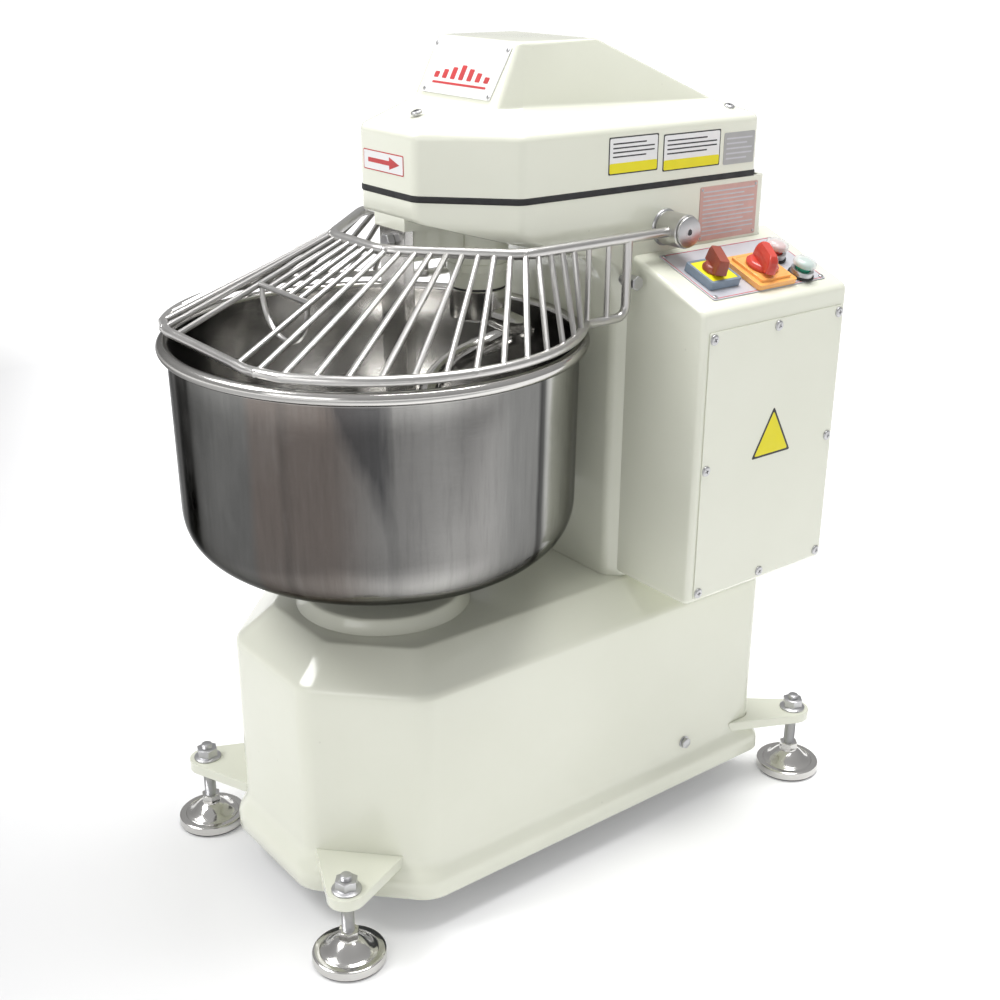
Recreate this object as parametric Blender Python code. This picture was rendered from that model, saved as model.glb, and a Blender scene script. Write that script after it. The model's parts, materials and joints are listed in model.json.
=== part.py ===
"""Floor-standing spiral dough mixer, built from its separate pieces, in metres with +Z up.

X runs across the machine, Y from the bowl at the front to the column at the back, and Z up from the floor.
Every piece hangs from one empty, which puts the middle of the machine's footprint at the world's origin.
"""

import math

import bmesh
import bpy
from mathutils import Matrix, Vector

# Fits
GAP = 0.0003  # air between two pieces that touch
RUNNING_GAP = 0.0005  # air between a turning piece and what it turns in
REACH = 0.030  # how far a cutter runs past the wall that it cuts

# Base, as a six-sided plan with a wide chamfer at each front corner
BASE_HALF_WIDTH = 0.185
BASE_NOSE_HALF_WIDTH = 0.080
BASE_FRONT_Y = -0.166
BASE_CHAMFER_Y = -0.063
BASE_REAR_Y = 0.485
BASE_BOTTOM = 0.045
BASE_SHOULDER = 0.316
BASE_TOP = 0.350
SHOULDER_RUN = 0.050
SKIRT_FLARE = 0.012
BASE_WALL = 0.004
BASE_CORNER = 0.042
BASE_REAR_CORNER = 0.020
BASE_BOLT_AT = (0.352, 0.100)
BASE_BOLT_ACROSS_FLATS = 0.013
FLOOR_PLATE_BOTTOM = BASE_BOTTOM + 0.008
FLOOR_PLATE_TOP = BASE_BOTTOM + 0.016
FLOOR_PLATE_MARGIN = 0.002
COLUMN_HOLE_HALF_WIDTH = 0.110
COLUMN_HOLE_MARGIN = 0.025

# Column and head casting
HEAD_HALF_WIDTH = 0.135
HEAD_NOSE_HALF_WIDTH = 0.0525
HEAD_FRONT_Y = 0.0205
HEAD_CHAMFER_Y = 0.104
COLUMN_FRONT_Y = 0.255
COLUMN_REAR_Y = 0.485
HEAD_CORNER = 0.018
HEAD_SPLIT = 0.834
HEAD_FLOOR_FRONT = 0.812
HEAD_FLOOR_SLOPE = -0.27
THROAT_RADIUS = 0.085
HEAD_REAR_CORNER = 0.010
COLUMN_WALL = 0.005
REAR_HOLE_HALF_WIDTH = 0.080
REAR_HOLE_Z = (0.430, 0.760)
REAR_PLATE_HALF_WIDTH = 0.095
REAR_PLATE_Z = (0.410, 0.780)
REAR_PLATE_THICKNESS = 0.0015
REAR_SCREW_X = 0.087
REAR_SCREW_Z = (0.419, 0.595, 0.771)

# Top cover with its hump
GASKET_HEIGHT = 0.007
GASKET_PROUD = 0.0008
COVER_REAR_Y = 0.468
COVER_WALL_TOP = 0.906
COVER_WALL = 0.003
HUMP_HALF_WIDTH = 0.0795
HUMP_FRONT_Y = 0.1116
HUMP_REAR_Y = 0.437
HUMP_TOP_FRONT_Y = 0.143
HUMP_TOP_REAR_Y = 0.2563
HUMP_TOP = 0.9954
HUMP_TOP_HALF_WIDTH = 0.0755
HUMP_FOOT_Z = 0.929
HUMP_CORNER = 0.006
SIGN_HALF_WIDTH = 0.0655
SIGN_HALF_HEIGHT = 0.0300
SIGN_THICKNESS = 0.0012

# Bowl and its drive
BOWL_RIM_Z = 0.6795
BOWL_RIM_RADIUS = 0.236
BOWL_BEAD = 0.0075
BOWL_WALL_RADIUS = 0.2324
BOWL_KNEE_RADIUS = 0.2306
BOWL_KNEE_Z = 0.4956
BOWL_BOTTOM_Z = 0.4135
BOWL_FLAT_RADIUS = 0.078
BOWL_CURVE_POWER = 2.55
BOWL_WALL = 0.002
BOWL_SHAFT_RADIUS = 0.0175
BOWL_SHAFT_BOTTOM = 0.195
BOWL_PLATE_RADIUS = 0.072
BOWL_HOUSING_RADIUS = 0.106
BOWL_HOUSING_NECK_RADIUS = 0.060
BOWL_HOUSING_HOLE_RADIUS = 0.0615
BOWL_HOUSING_BOTTOM = 0.262
BOWL_HOUSING_HEIGHT = 0.0165
BOWL_BEARING_RADIUS = 0.0342
BOWL_BEARING_Z = (0.272, 0.345)

# Spiral hook, breaker bar and their drive
SPIRAL_Y = 0.1453
SPIRAL_HUB_RADIUS = 0.0338
SPIRAL_HUB_BOTTOM = 0.680
SPIRAL_HUB_TOP = 0.7165
SPIRAL_SHAFT_RADIUS = 0.020
SPIRAL_ROD_RADIUS = 0.0135
SPIRAL_START_RADIUS = 0.014
SPIRAL_SWEEP_RADIUS = 0.0605
SPIRAL_START_DEG = -10
SPIRAL_TURN_DEG = 430
SPIRAL_SWING_SHARE = 0.24  # share of the bar's turn in which it swings out from the hub
SPIRAL_TIP_SHARE = 0.80  # share of the turn after which the bar tucks inwards
SPIRAL_TIP_TUCK = 0.16
SPIRAL_LOW_Z = 0.478
SPIRAL_SHAFT_TOP = 0.878
SPIRAL_SLEEVE_RADIUS = 0.0338
SPIRAL_SLEEVE_BOTTOM = 0.7190
SPIRAL_SLEEVE_TOP = 0.8140
SPIRAL_SLEEVE_BORE = 0.0313
SPIRAL_SLEEVE_HOLE_RADIUS = 0.0370
SPIRAL_BEARING_RADIUS = 0.0310
SPIRAL_BEARING_Z = (0.724, 0.803)
SPIRAL_SEAL_RADIUS = 0.0325
SPIRAL_SEAL_TOP = 0.7187
BAR_HALF_WIDTH = 0.025
BAR_FRONT_Y = 0.0245
BAR_THICKNESS = 0.0145
BAR_TOP = 0.7985
BAR_BOTTOM = 0.452
BAR_SHOULDER_Z = 0.670
BAR_BRACKET_HALF_WIDTH = 0.030
BAR_BRACKET_Y = (0.0225, 0.0750)
BAR_WEB_HALF_WIDTH = 0.021
BAR_WEB_Z = (0.762, 0.806)
BAR_BOLT_Z = 0.784
BAR_BOLT_RADIUS = 0.005
BAR_BOLT_ACROSS_FLATS = 0.016

# Belt drives: the driven wheel, the driving wheel and the belt between them
MOTOR_Y = 0.375
DRIVEN_RADIUS = 0.100
DRIVER_RADIUS = 0.025
BELT_THICKNESS = 0.010
BELT_HEIGHT = 0.020
BELT_CLEARANCE = 0.0010  # keeps the belt's facets off the wheels' facets
SPIRAL_BELT_Z = 0.855
BOWL_BELT_Z = 0.225
BOWL_MOTOR_Y = 0.300
BOWL_MOTOR_TOP = 0.195
SPIRAL_MOTOR_Z = (0.490, 0.7515)
MOTOR_RADIUS = 0.070
MOTOR_FLANGE_RADIUS = 0.078
MOTOR_SHAFT_RADIUS = 0.011
MOTOR_SHAFT_LENGTH_IN = 0.019
MOTOR_HOLE_RADIUS = 0.030
MOUNT_PLATE_HALF_WIDTH = 0.126
MOUNT_PLATE_Y = (0.272, 0.476)
MOUNT_PLATE_Z = (0.752, 0.760)

# Bowl guard
GUARD_HALF_WIDTH = 0.158
GUARD_HINGE_Y = 0.317
GUARD_HINGE_Z = 0.788
GUARD_FRONT_Y = -0.0215
GUARD_NOSE_HALF_WIDTH = 0.052
GUARD_CHAMFER_Y = 0.0865
GUARD_TUBE_RADIUS = 0.006
GUARD_RING_RADIUS = 0.2365
GUARD_RING_Z = 0.698
GUARD_RING_TUBE = 0.0055
GUARD_CHORD_Y = -0.2105
GUARD_REAR_Y = 0.238
GUARD_ROD_RADIUS = 0.0033
GUARD_RODS = 14
GUARD_ROD_STEP_DEG = 8.0
GUARD_FIRST_ROD_DEG = -63.7
GUARD_FEED_TOP_X = 0.039
GUARD_FEED_BOTTOM_X = 0.0694
GUARD_FEED_BAR_SHARE = 0.49
GUARD_LOOP_DEPTH = 0.052
GUARD_BOSS_RADIUS = 0.0195
GUARD_BOSS_INNER_X = 0.1385
GUARD_BOSS_OUTER_X = 0.172
GUARD_PIN_RADIUS = 0.008
GUARD_TUBE_BEND = 0.040
GUARD_END_BEND = 0.014
GUARD_LAST_ROD_Y = 0.158
GUARD_UPRIGHT_Y = (0.180, 0.209)
GUARD_SHORT_RODS = 4
PIN_FLANGE_RADIUS = 0.0215
PIN_HEAD_RADIUS = 0.0180
PIN_SOCKET = 0.007
STOP_SHANK_RADIUS = 0.0050
STOP_RADIUS = 0.0075
STOP_Y = GUARD_REAR_Y + GUARD_RING_TUBE + GAP + STOP_RADIUS
STOP_Z = 0.7355

# Electrical box on the right of the column, with its sloping control panel
BOX_FRONT_Y = 0.2675
BOX_REAR_Y = 0.5116
BOX_OUTER_X = 0.2546
BOX_BOTTOM = 0.3554
BOX_TOP_INNER = 0.7604
BOX_TOP_OUTER = 0.7168
BOX_WALL = 0.002
BOX_INNER_X = 0.118  # inside the column, before the column's form is cut away
BOX_OPENING_Y = (0.2915, 0.4900)
BOX_OPENING_Z = (0.3775, 0.6770)
BOX_SCREW_FIRST = (0.2841, 0.3699)
BOX_SCREW_STEP = (0.1066, 0.1573)
CONTACTOR_PLATE_Y = (0.290, 0.492)
CONTACTOR_PLATE_Z = (0.385, 0.660)
CONTACTOR_DEPTH = 0.070
CONTACTOR_WIDTH = 0.045
CONTACTOR_Z = (0.545, 0.625)
SPIRAL_CONTACTOR_Y = 0.305
BOWL_CONTACTOR_Y = 0.365
COVER_PLATE_THICKNESS = 0.0015
COVER_PLATE_Y = (0.2775, 0.5040)
COVER_PLATE_Z = (0.3625, 0.6930)
PANEL_U = (0.0105, 0.1095)
PANEL_V = (0.0315, 0.2219)
PANEL_THICKNESS = 0.0012

# Controls, as (down the slope, back from the box's front)
MAIN_SWITCH_AT = (0.0685, 0.0645)
MAIN_SWITCH_SIZE = 0.048
SPEED_SWITCH_AT = (0.0770, 0.1360)
SPEED_SWITCH_SIZE = 0.065
START_BUTTON_AT = (0.0955, 0.1900)
STOP_BUTTON_AT = (0.0520, 0.1850)
LAMP_AT = (0.0340, 0.1040)
SWITCH_PLATE_HEIGHT = 0.010
SWITCH_BODY_HALF = 0.020
SWITCH_BODY_Z = (-0.050, -0.010)
SWITCH_LEVER_TURN = -115  # degrees from the slope's cross line
PANEL_SCREW_U = (0.0150, 0.1050)
PANEL_SCREW_V = (0.0365, 0.2169)
BUTTON_HOLE_RADIUS = 0.011
SWITCH_HOLE_RADIUS = 0.0105
LAMP_HOLE_RADIUS = 0.0055

# Levelling feet
FRONT_FOOT = (0.173, -0.171)
REAR_FOOT = (0.209, 0.542)
FOOT_RADIUS = 0.0434
FOOT_CUP_HEIGHT = 0.014
BRACKET_TOP = 0.0975
BRACKET_THICKNESS = 0.014
BRACKET_TIP_RADIUS = 0.023
STEM_RADIUS = 0.0075
STEM_TOP = 0.1180
STEM_HEX_ACROSS_FLATS = 0.022
STEM_HEX_TURN = 7  # degrees, so its corners miss the cup's facets
NUT_ACROSS_FLATS = 0.024
NUT_HEIGHT = 0.0145
NUT_FLANGE_RADIUS = 0.0172
FRONT_BRACKET_ROOT = ((0.1613, -0.0864), (0.140, -0.078), (0.078, -0.140), (0.0863, -0.1599))
REAR_BRACKET_ROOT = (
    (0.132, BASE_REAR_Y),
    (0.140, BASE_REAR_Y - 0.020),
    (BASE_HALF_WIDTH - 0.020, 0.4365),
    (BASE_HALF_WIDTH, 0.4365),
)

CORNER_STEPS = 3  # pieces in each rounded corner of the head and its cover

SCREW_HEAD_RADIUS = 0.0045
SCREW_HEAD_HEIGHT = 0.0025
SCREW_SINK = 0.0005  # how far a screw's head is let into its plate

PANEL_ANGLE = math.atan2(BOX_TOP_INNER - BOX_TOP_OUTER, BOX_OUTER_X - HEAD_HALF_WIDTH)
RIGHT_EXTENT = BOX_OUTER_X + GAP + COVER_PLATE_THICKNESS + SCREW_HEAD_HEIGHT - SCREW_SINK
LEFT_EXTENT = REAR_FOOT[0] + FOOT_RADIUS
FRONT_EXTENT = BOWL_RIM_RADIUS + BOWL_BEAD
BACK_EXTENT = REAR_FOOT[1] + FOOT_RADIUS
ORIGIN_SHIFT = (
    (LEFT_EXTENT - RIGHT_EXTENT) / 2,
    (FRONT_EXTENT - BACK_EXTENT) / 2,
    0.0,
)

# Colour, roughness and metallic value of each finish
FINISHES = {
    "cream_enamel": ((0.80, 0.80, 0.72), 0.25, 0.0),
    "polished_stainless": ((0.62, 0.61, 0.59), 0.15, 1.0),
    "brushed_stainless": ((0.55, 0.54, 0.52), 0.32, 1.0),
    "machined_steel": ((0.45, 0.45, 0.46), 0.35, 1.0),
    "cast_iron": ((0.16, 0.17, 0.17), 0.60, 1.0),
    "aluminium": ((0.70, 0.71, 0.74), 0.40, 1.0),
    "black_rubber": ((0.03, 0.03, 0.035), 0.70, 0.0),
    "grey_plastic": ((0.30, 0.36, 0.43), 0.45, 0.0),
    "amber_plastic": ((0.90, 0.50, 0.14), 0.30, 0.0),
    "red_plastic": ((0.70, 0.10, 0.07), 0.35, 0.0),
    "brown_plastic": ((0.36, 0.10, 0.06), 0.40, 0.0),
    "green_plastic": ((0.02, 0.40, 0.27), 0.30, 0.0),
    "clear_plastic": ((0.78, 0.80, 0.80), 0.20, 0.0),
    "black_plastic": ((0.04, 0.04, 0.045), 0.45, 0.0),
    "sign_white": ((0.85, 0.85, 0.85), 0.30, 0.0),
}


def clear_scene():
    for old in list(bpy.data.objects):
        bpy.data.objects.remove(old, do_unlink=True)


def make_finish(name):
    colour, roughness, metallic = FINISHES[name]
    made = bpy.data.materials.new(name)
    made.use_nodes = True
    shader = made.node_tree.nodes["Principled BSDF"]
    shader.inputs["Base Color"].default_value = (*colour, 1.0)
    shader.inputs["Roughness"].default_value = roughness
    shader.inputs["Metallic"].default_value = metallic
    return made


def add_empty(name, location, parent=None):
    empty = bpy.data.objects.new(name, None)
    empty.location = location
    empty.parent = parent
    bpy.context.scene.collection.objects.link(empty)
    return empty


def finish_mesh(mesh_builder, name, finish, parent, location=(0, 0, 0), rotation=(0, 0, 0)):
    """Turn a bmesh into a named object with outward faces and smooth round stretches."""
    bmesh.ops.recalc_face_normals(mesh_builder, faces=mesh_builder.faces)
    mesh = bpy.data.meshes.new(name)
    mesh_builder.to_mesh(mesh)
    mesh_builder.free()
    mesh.materials.append(bpy.data.materials[finish])
    mesh.shade_smooth()
    mesh.set_sharp_from_angle(angle=math.radians(35))
    made = bpy.data.objects.new(name, mesh)
    made.location = location
    made.rotation_euler = rotation
    made.parent = parent
    bpy.context.scene.collection.objects.link(made)
    return made


def helper(made):
    """Mark an object as a cutter or an operand, which is no piece of the machine."""
    made.hide_render = True
    made.display_type = "WIRE"
    return made


def boolean(target, other, operation):
    modifier = target.modifiers.new(f"{operation.lower()} {other.name}", "BOOLEAN")
    modifier.operation = operation
    modifier.solver = "EXACT"
    modifier.object = other
    helper(other)


def fuse_all(target, others, name):
    """Weld a group of helpers to the target in one union."""
    group = bpy.data.collections.new(name)
    bpy.context.scene.collection.children.link(group)
    for other in others:
        bpy.context.scene.collection.objects.unlink(helper(other))
        group.objects.link(other)
    modifier = target.modifiers.new(name, "BOOLEAN")
    modifier.operation = "UNION"
    modifier.solver = "EXACT"
    modifier.operand_type = "COLLECTION"
    modifier.collection = group


def inset(corners, distances):
    """Move each side of a counter-clockwise outline inwards by its own distance."""
    lines = []
    for index, corner in enumerate(corners):
        start = Vector(corner)
        along = (Vector(corners[(index + 1) % len(corners)]) - start).normalized()
        inward = Vector((-along.y, along.x))
        lines.append((start + inward * distances[index], along))
    moved = []
    for index, (start, along) in enumerate(lines):
        before, before_along = lines[index - 1]
        cross = before_along.x * along.y - before_along.y * along.x
        share = ((start - before).x * along.y - (start - before).y * along.x) / cross
        moved.append(tuple(before + before_along * share))
    return moved


def rounded(corners, radii, steps):
    """The outline with each corner replaced by an arc of its own radius."""
    points = []
    for index, corner in enumerate(corners):
        here = Vector(corner)
        to_last = (Vector(corners[index - 1]) - here).normalized()
        to_next = (Vector(corners[(index + 1) % len(corners)]) - here).normalized()
        half = to_last.angle(to_next) / 2
        centre = here + (to_last + to_next).normalized() * (radii[index] / math.sin(half))
        first = here + to_last * (radii[index] / math.tan(half)) - centre
        last = here + to_next * (radii[index] / math.tan(half)) - centre
        turn = first.angle_signed(last)
        for step in range(steps + 1):
            arm = first.copy()
            arm.rotate(Matrix.Rotation(-turn * step / steps, 2))
            points.append(tuple(centre + arm))
    return points


def loft(name, rings, finish, parent, location=(0, 0, 0)):
    """A closed solid through rings of points that all have the same count."""
    builder = bmesh.new()
    layers = [[builder.verts.new(point) for point in ring] for ring in rings]
    for lower, upper in zip(layers, layers[1:]):
        for index in range(len(lower)):
            after = (index + 1) % len(lower)
            builder.faces.new((lower[index], lower[after], upper[after], upper[index]))
    builder.faces.new(reversed(layers[0]))
    builder.faces.new(layers[-1])
    return finish_mesh(builder, name, finish, parent, location)


def slab(name, outline, bottom, top, finish, parent, location=(0, 0, 0)):
    rings = [[(x, y, z) for x, y in outline] for z in (bottom, top)]
    return loft(name, rings, finish, parent, location)


def block(name, low, high, finish, parent):
    outline = [(low[0], low[1]), (high[0], low[1]), (high[0], high[1]), (low[0], high[1])]
    return slab(name, outline, low[2], high[2], finish, parent)


def turned(name, profile, finish, parent, location=(0, 0, 0), rotation=(0, 0, 0), steps=32):
    """A profile of (radius, height) points spun round Z; a profile off the axis makes a ring."""
    builder = bmesh.new()
    verts = [builder.verts.new((radius, 0, height)) for radius, height in profile]
    edges = [builder.edges.new(pair) for pair in zip(verts, verts[1:])]
    if min(radius for radius, _ in profile) > 0:
        edges.append(builder.edges.new((verts[-1], verts[0])))
    bmesh.ops.spin(
        builder,
        geom=verts + edges,
        cent=(0, 0, 0),
        axis=(0, 0, 1),
        angle=math.tau,
        steps=steps,
        use_merge=True,
    )
    bmesh.ops.remove_doubles(builder, verts=builder.verts, dist=0.00001)
    return finish_mesh(builder, name, finish, parent, location, rotation)


def rod(name, radius, bottom, top, finish, parent, location=(0, 0, 0), rotation=(0, 0, 0), steps=24):
    profile = [(0, bottom), (radius, bottom), (radius, top), (0, top)]
    return turned(name, profile, finish, parent, location, rotation, steps)


def ring(name, inner, outer, bottom, top, finish, parent, location=(0, 0, 0), steps=32):
    profile = [(inner, bottom), (outer, bottom), (outer, top), (inner, top)]
    return turned(name, profile, finish, parent, location, steps=steps)


def hexagon(name, across_flats, bottom, top, finish, parent, location=(0, 0, 0), rotation=(0, 0, 0)):
    radius = across_flats / math.sqrt(3)
    profile = [(0, bottom), (radius, bottom), (radius, top), (0, top)]
    return turned(name, profile, finish, parent, location, rotation, steps=6)


def tube(name, points, radius, finish, parent, resolution=2, cyclic=False):
    """A round wire or tube along a line of points, as a closed mesh."""
    curve = bpy.data.curves.new(name, "CURVE")
    curve.dimensions = "3D"
    curve.bevel_depth = radius
    curve.bevel_resolution = resolution
    curve.use_fill_caps = True
    spline = curve.splines.new("POLY")
    spline.points.add(len(points) - 1)
    for target, point in zip(spline.points, points):
        target.co = (*point, 1.0)
    spline.use_cyclic_u = cyclic
    guide = bpy.data.objects.new(name, curve)
    builder = bmesh.new()
    builder.from_mesh(guide.to_mesh())
    guide.to_mesh_clear()
    bpy.data.objects.remove(guide)
    bmesh.ops.remove_doubles(builder, verts=builder.verts, dist=0.00001)
    return finish_mesh(builder, name, finish, parent)


def arc_points(centre, radius, start_deg, end_deg, steps):
    """Points of a circle in the XY plane, at the centre's height."""
    points = []
    for step in range(steps + 1):
        angle = math.radians(start_deg + (end_deg - start_deg) * step / steps)
        points.append((centre[0] + radius * math.cos(angle), centre[1] + radius * math.sin(angle), centre[2]))
    return points


def softened(corners, radius, steps=4):
    """A line of 3-D points with each inner corner bent to a radius."""
    points = [Vector(corners[0])]
    for before, here, after in zip(corners, corners[1:], corners[2:]):
        here = Vector(here)
        back = (Vector(before) - here).normalized()
        ahead = (Vector(after) - here).normalized()
        half = back.angle(ahead) / 2
        reach = radius / math.tan(half)
        centre = here + (back + ahead).normalized() * (radius / math.sin(half))
        first = here + back * reach - centre
        last = here + ahead * reach - centre
        for step in range(steps + 1):
            points.append(centre + first.slerp(last, step / steps) * radius)
    points.append(Vector(corners[-1]))
    return points


def mirrored(points):
    return [(-point[0], point[1], point[2]) for point in points]


# ---------------------------------------------------------------- base


def base_corners(spread, rear_spread=None):
    """The base's plan, grown by spread on every side."""
    corners = [
        (-BASE_NOSE_HALF_WIDTH, BASE_FRONT_Y),
        (BASE_NOSE_HALF_WIDTH, BASE_FRONT_Y),
        (BASE_HALF_WIDTH, BASE_CHAMFER_Y),
        (BASE_HALF_WIDTH, BASE_REAR_Y),
        (-BASE_HALF_WIDTH, BASE_REAR_Y),
        (-BASE_HALF_WIDTH, BASE_CHAMFER_Y),
    ]
    rear = spread if rear_spread is None else rear_spread
    return inset(corners, [-spread, -spread, -spread, -rear, -spread, -spread])


def base_solid(name, grow, bottom_extra=0.0):
    """The base's outer form: flared skirt, straight walls and a sloping shoulder under a flat top."""
    wall_top = BASE_SHOULDER - 0.010
    levels = [
        (BASE_BOTTOM - bottom_extra, SKIRT_FLARE, SKIRT_FLARE),
        (0.062, SKIRT_FLARE, SKIRT_FLARE),
        (0.070, SKIRT_FLARE * 0.80, SKIRT_FLARE * 0.80),
        (0.080, SKIRT_FLARE * 0.30, SKIRT_FLARE * 0.30),
        (0.092, 0.0, 0.0),
        (wall_top, 0.0, 0.0),
        (BASE_SHOULDER - 0.002, -0.0025, -0.001),
        (BASE_SHOULDER + 0.004, -0.0090, -0.002),
        (BASE_TOP - 0.004, 0.006 - SHOULDER_RUN, -0.003),
        (BASE_TOP, -0.004 - SHOULDER_RUN, -0.004),
    ]
    rings = []
    for height, spread, rear_spread in levels:
        corners = base_corners(spread + grow, rear_spread + grow)
        radius = BASE_CORNER + spread * 0.4 + grow
        radii = [radius, radius, radius, BASE_REAR_CORNER, BASE_REAR_CORNER, radius]
        lift = grow if height > BASE_SHOULDER else 0.0
        rings.append([(x, y, height + lift) for x, y in rounded(corners, radii, 4)])
    return loft(name, rings, "cream_enamel", ROOT)


def build_base():
    shell = base_solid("base_shell", 0.0)
    inside = base_solid("base_inside", -BASE_WALL, bottom_extra=0.020)
    boolean(shell, inside, "DIFFERENCE")
    housing_hole = rod(
        "base_housing_hole", BOWL_HOUSING_HOLE_RADIUS, BASE_TOP - REACH, BASE_TOP + REACH, "cream_enamel", ROOT
    )
    boolean(shell, housing_hole, "DIFFERENCE")
    column_hole = block(
        "base_column_hole",
        (-COLUMN_HOLE_HALF_WIDTH, COLUMN_FRONT_Y + COLUMN_HOLE_MARGIN, BASE_TOP - REACH),
        (COLUMN_HOLE_HALF_WIDTH, COLUMN_REAR_Y - COLUMN_HOLE_MARGIN, BASE_TOP + REACH),
        "cream_enamel",
        ROOT,
    )
    boolean(shell, column_hole, "DIFFERENCE")
    margin = BASE_WALL + FLOOR_PLATE_MARGIN
    front, rear = BASE_CORNER - margin, BASE_REAR_CORNER - BASE_WALL
    floor_outline = rounded(base_corners(-margin), [front, front, front, rear, rear, front], 3)
    slab("base_floor_plate", floor_outline, FLOOR_PLATE_BOTTOM, FLOOR_PLATE_TOP, "cast_iron", ROOT)
    for side, label in ((1, "right"), (-1, "left")):
        head = hexagon(
            f"base_bolt_{label}", BASE_BOLT_ACROSS_FLATS, -0.002, 0.006, "cream_enamel", ROOT,
            (side * BASE_HALF_WIDTH, *BASE_BOLT_AT), (0, side * math.pi / 2, 0),
        )
        boolean(shell, head, "UNION")


def tangent_angle(start, centre, radius, side):
    """The bearing from a circle's centre to where a line from start touches it, on its left or right side."""
    reach = Vector(start) - Vector(centre)
    return math.atan2(reach.y, reach.x) + side * math.acos(radius / reach.length)


def build_bracket(name, root_points, foot, order):
    """A flat lug welded to the base, with a round nose about the foot's stem."""
    first, last = root_points[0], root_points[-1]
    start = tangent_angle(last, foot, BRACKET_TIP_RADIUS, order)
    end = tangent_angle(first, foot, BRACKET_TIP_RADIUS, -order)
    if order > 0:
        end += math.tau if end < start else 0
    else:
        end -= math.tau if end > start else 0
    nose = arc_points((*foot, 0), BRACKET_TIP_RADIUS, math.degrees(start), math.degrees(end), 8)
    outline = list(root_points) + [(x, y) for x, y, _ in nose]
    lug = slab(name, outline, BRACKET_TOP - BRACKET_THICKNESS, BRACKET_TOP, "cream_enamel", ROOT)
    boolean(lug, bpy.data.objects["base_clearance"], "DIFFERENCE")
    place = (*foot, 0)
    flange_profile = [
        (0, BRACKET_TOP - 0.002), (NUT_FLANGE_RADIUS, BRACKET_TOP - 0.002),
        (NUT_FLANGE_RADIUS, BRACKET_TOP + 0.0018), (NUT_ACROSS_FLATS / 2, BRACKET_TOP + 0.0042),
        (0, BRACKET_TOP + 0.0042),
    ]
    flange = turned(f"{name}_flange", flange_profile, "cream_enamel", ROOT, place, steps=16)
    nut = hexagon(
        f"{name}_nut", NUT_ACROSS_FLATS, BRACKET_TOP - 0.001, BRACKET_TOP + NUT_HEIGHT, "cream_enamel", ROOT, place
    )
    fuse_all(lug, [flange, nut], f"{name}_weld")
    hole = rod(
        f"{name}_hole", STEM_RADIUS + 2 * GAP, BRACKET_TOP - REACH, BRACKET_TOP + REACH, "cream_enamel", ROOT,
        place, steps=20,
    )
    boolean(lug, hole, "DIFFERENCE")


def build_foot(label, foot):
    """A levelling foot: rubber pad, and a pressed steel cup in one piece with its stem and hexagon."""
    radius, height = FOOT_RADIUS, FOOT_CUP_HEIGHT
    place = (*foot, 0)
    pad = [(0, 0), (radius - 0.002, 0), (radius - 0.0015, 0.003), (radius - 0.0015, 0.0085), (0, 0.0085)]
    turned(f"foot_pad_{label}", pad, "black_rubber", ROOT, place, steps=20)
    cup = [
        (0, 0.0088),
        (radius - 0.0012, 0.0088),
        (radius - 0.0012, 0.003),
        (radius, 0.003),
        (radius, height - 0.002),
        (radius - 0.002, height),
        (radius * 0.74, height),
        (radius * 0.70, height + 0.001),
        (radius * 0.32, height + 0.014),
        (0.0110, height + 0.0185),
        (STEM_RADIUS, height + 0.0190),
        (STEM_RADIUS, STEM_TOP),
        (0, STEM_TOP),
    ]
    foot_cup = turned(f"foot_{label}", cup, "brushed_stainless", ROOT, place, steps=20)
    spanner = hexagon(
        f"foot_hex_{label}", STEM_HEX_ACROSS_FLATS, height + 0.0165, height + 0.0275, "brushed_stainless", ROOT,
        place, (0, 0, math.radians(STEM_HEX_TURN)),
    )
    boolean(foot_cup, spanner, "UNION")


def build_feet():
    helper(base_solid("base_clearance", GAP))
    ends = (("front", FRONT_BRACKET_ROOT, FRONT_FOOT), ("rear", REAR_BRACKET_ROOT, REAR_FOOT))
    for side, label in ((1, "right"), (-1, "left")):
        for end, roots, foot in ends:
            name = f"{end}_{label}"
            here = (side * foot[0], foot[1])
            points = [(side * x, y) for x, y in roots]
            build_bracket(f"foot_bracket_{name}", points, here, side)
            build_foot(name, here)


# ---------------------------------------------------------------- column and head


def head_outline(front_y, grow, radius, rear_y=COLUMN_REAR_Y):
    """The plan of the head behind front_y: nose, two chamfers, two sides and the rear."""
    slope = (HEAD_HALF_WIDTH - HEAD_NOSE_HALF_WIDTH) / (HEAD_CHAMFER_Y - HEAD_FRONT_Y)
    nose = HEAD_NOSE_HALF_WIDTH + max(0.0, front_y - HEAD_FRONT_Y) * slope
    shoulder_y = HEAD_CHAMFER_Y
    if nose > HEAD_HALF_WIDTH - 0.030:
        share = min(1.0, (nose - HEAD_HALF_WIDTH + 0.030) / 0.030)
        nose = HEAD_HALF_WIDTH - 0.030 + 0.012 * share
        shoulder_y = front_y + 0.030 - 0.012 * share
    corners = [
        (-nose, front_y),
        (nose, front_y),
        (HEAD_HALF_WIDTH, shoulder_y),
        (HEAD_HALF_WIDTH, rear_y),
        (-HEAD_HALF_WIDTH, rear_y),
        (-HEAD_HALF_WIDTH, shoulder_y),
    ]
    grown = inset(corners, [-grow] * 6)
    radii = [radius, radius, radius, HEAD_REAR_CORNER, HEAD_REAR_CORNER, radius]
    return rounded(grown, radii, CORNER_STEPS)


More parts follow.
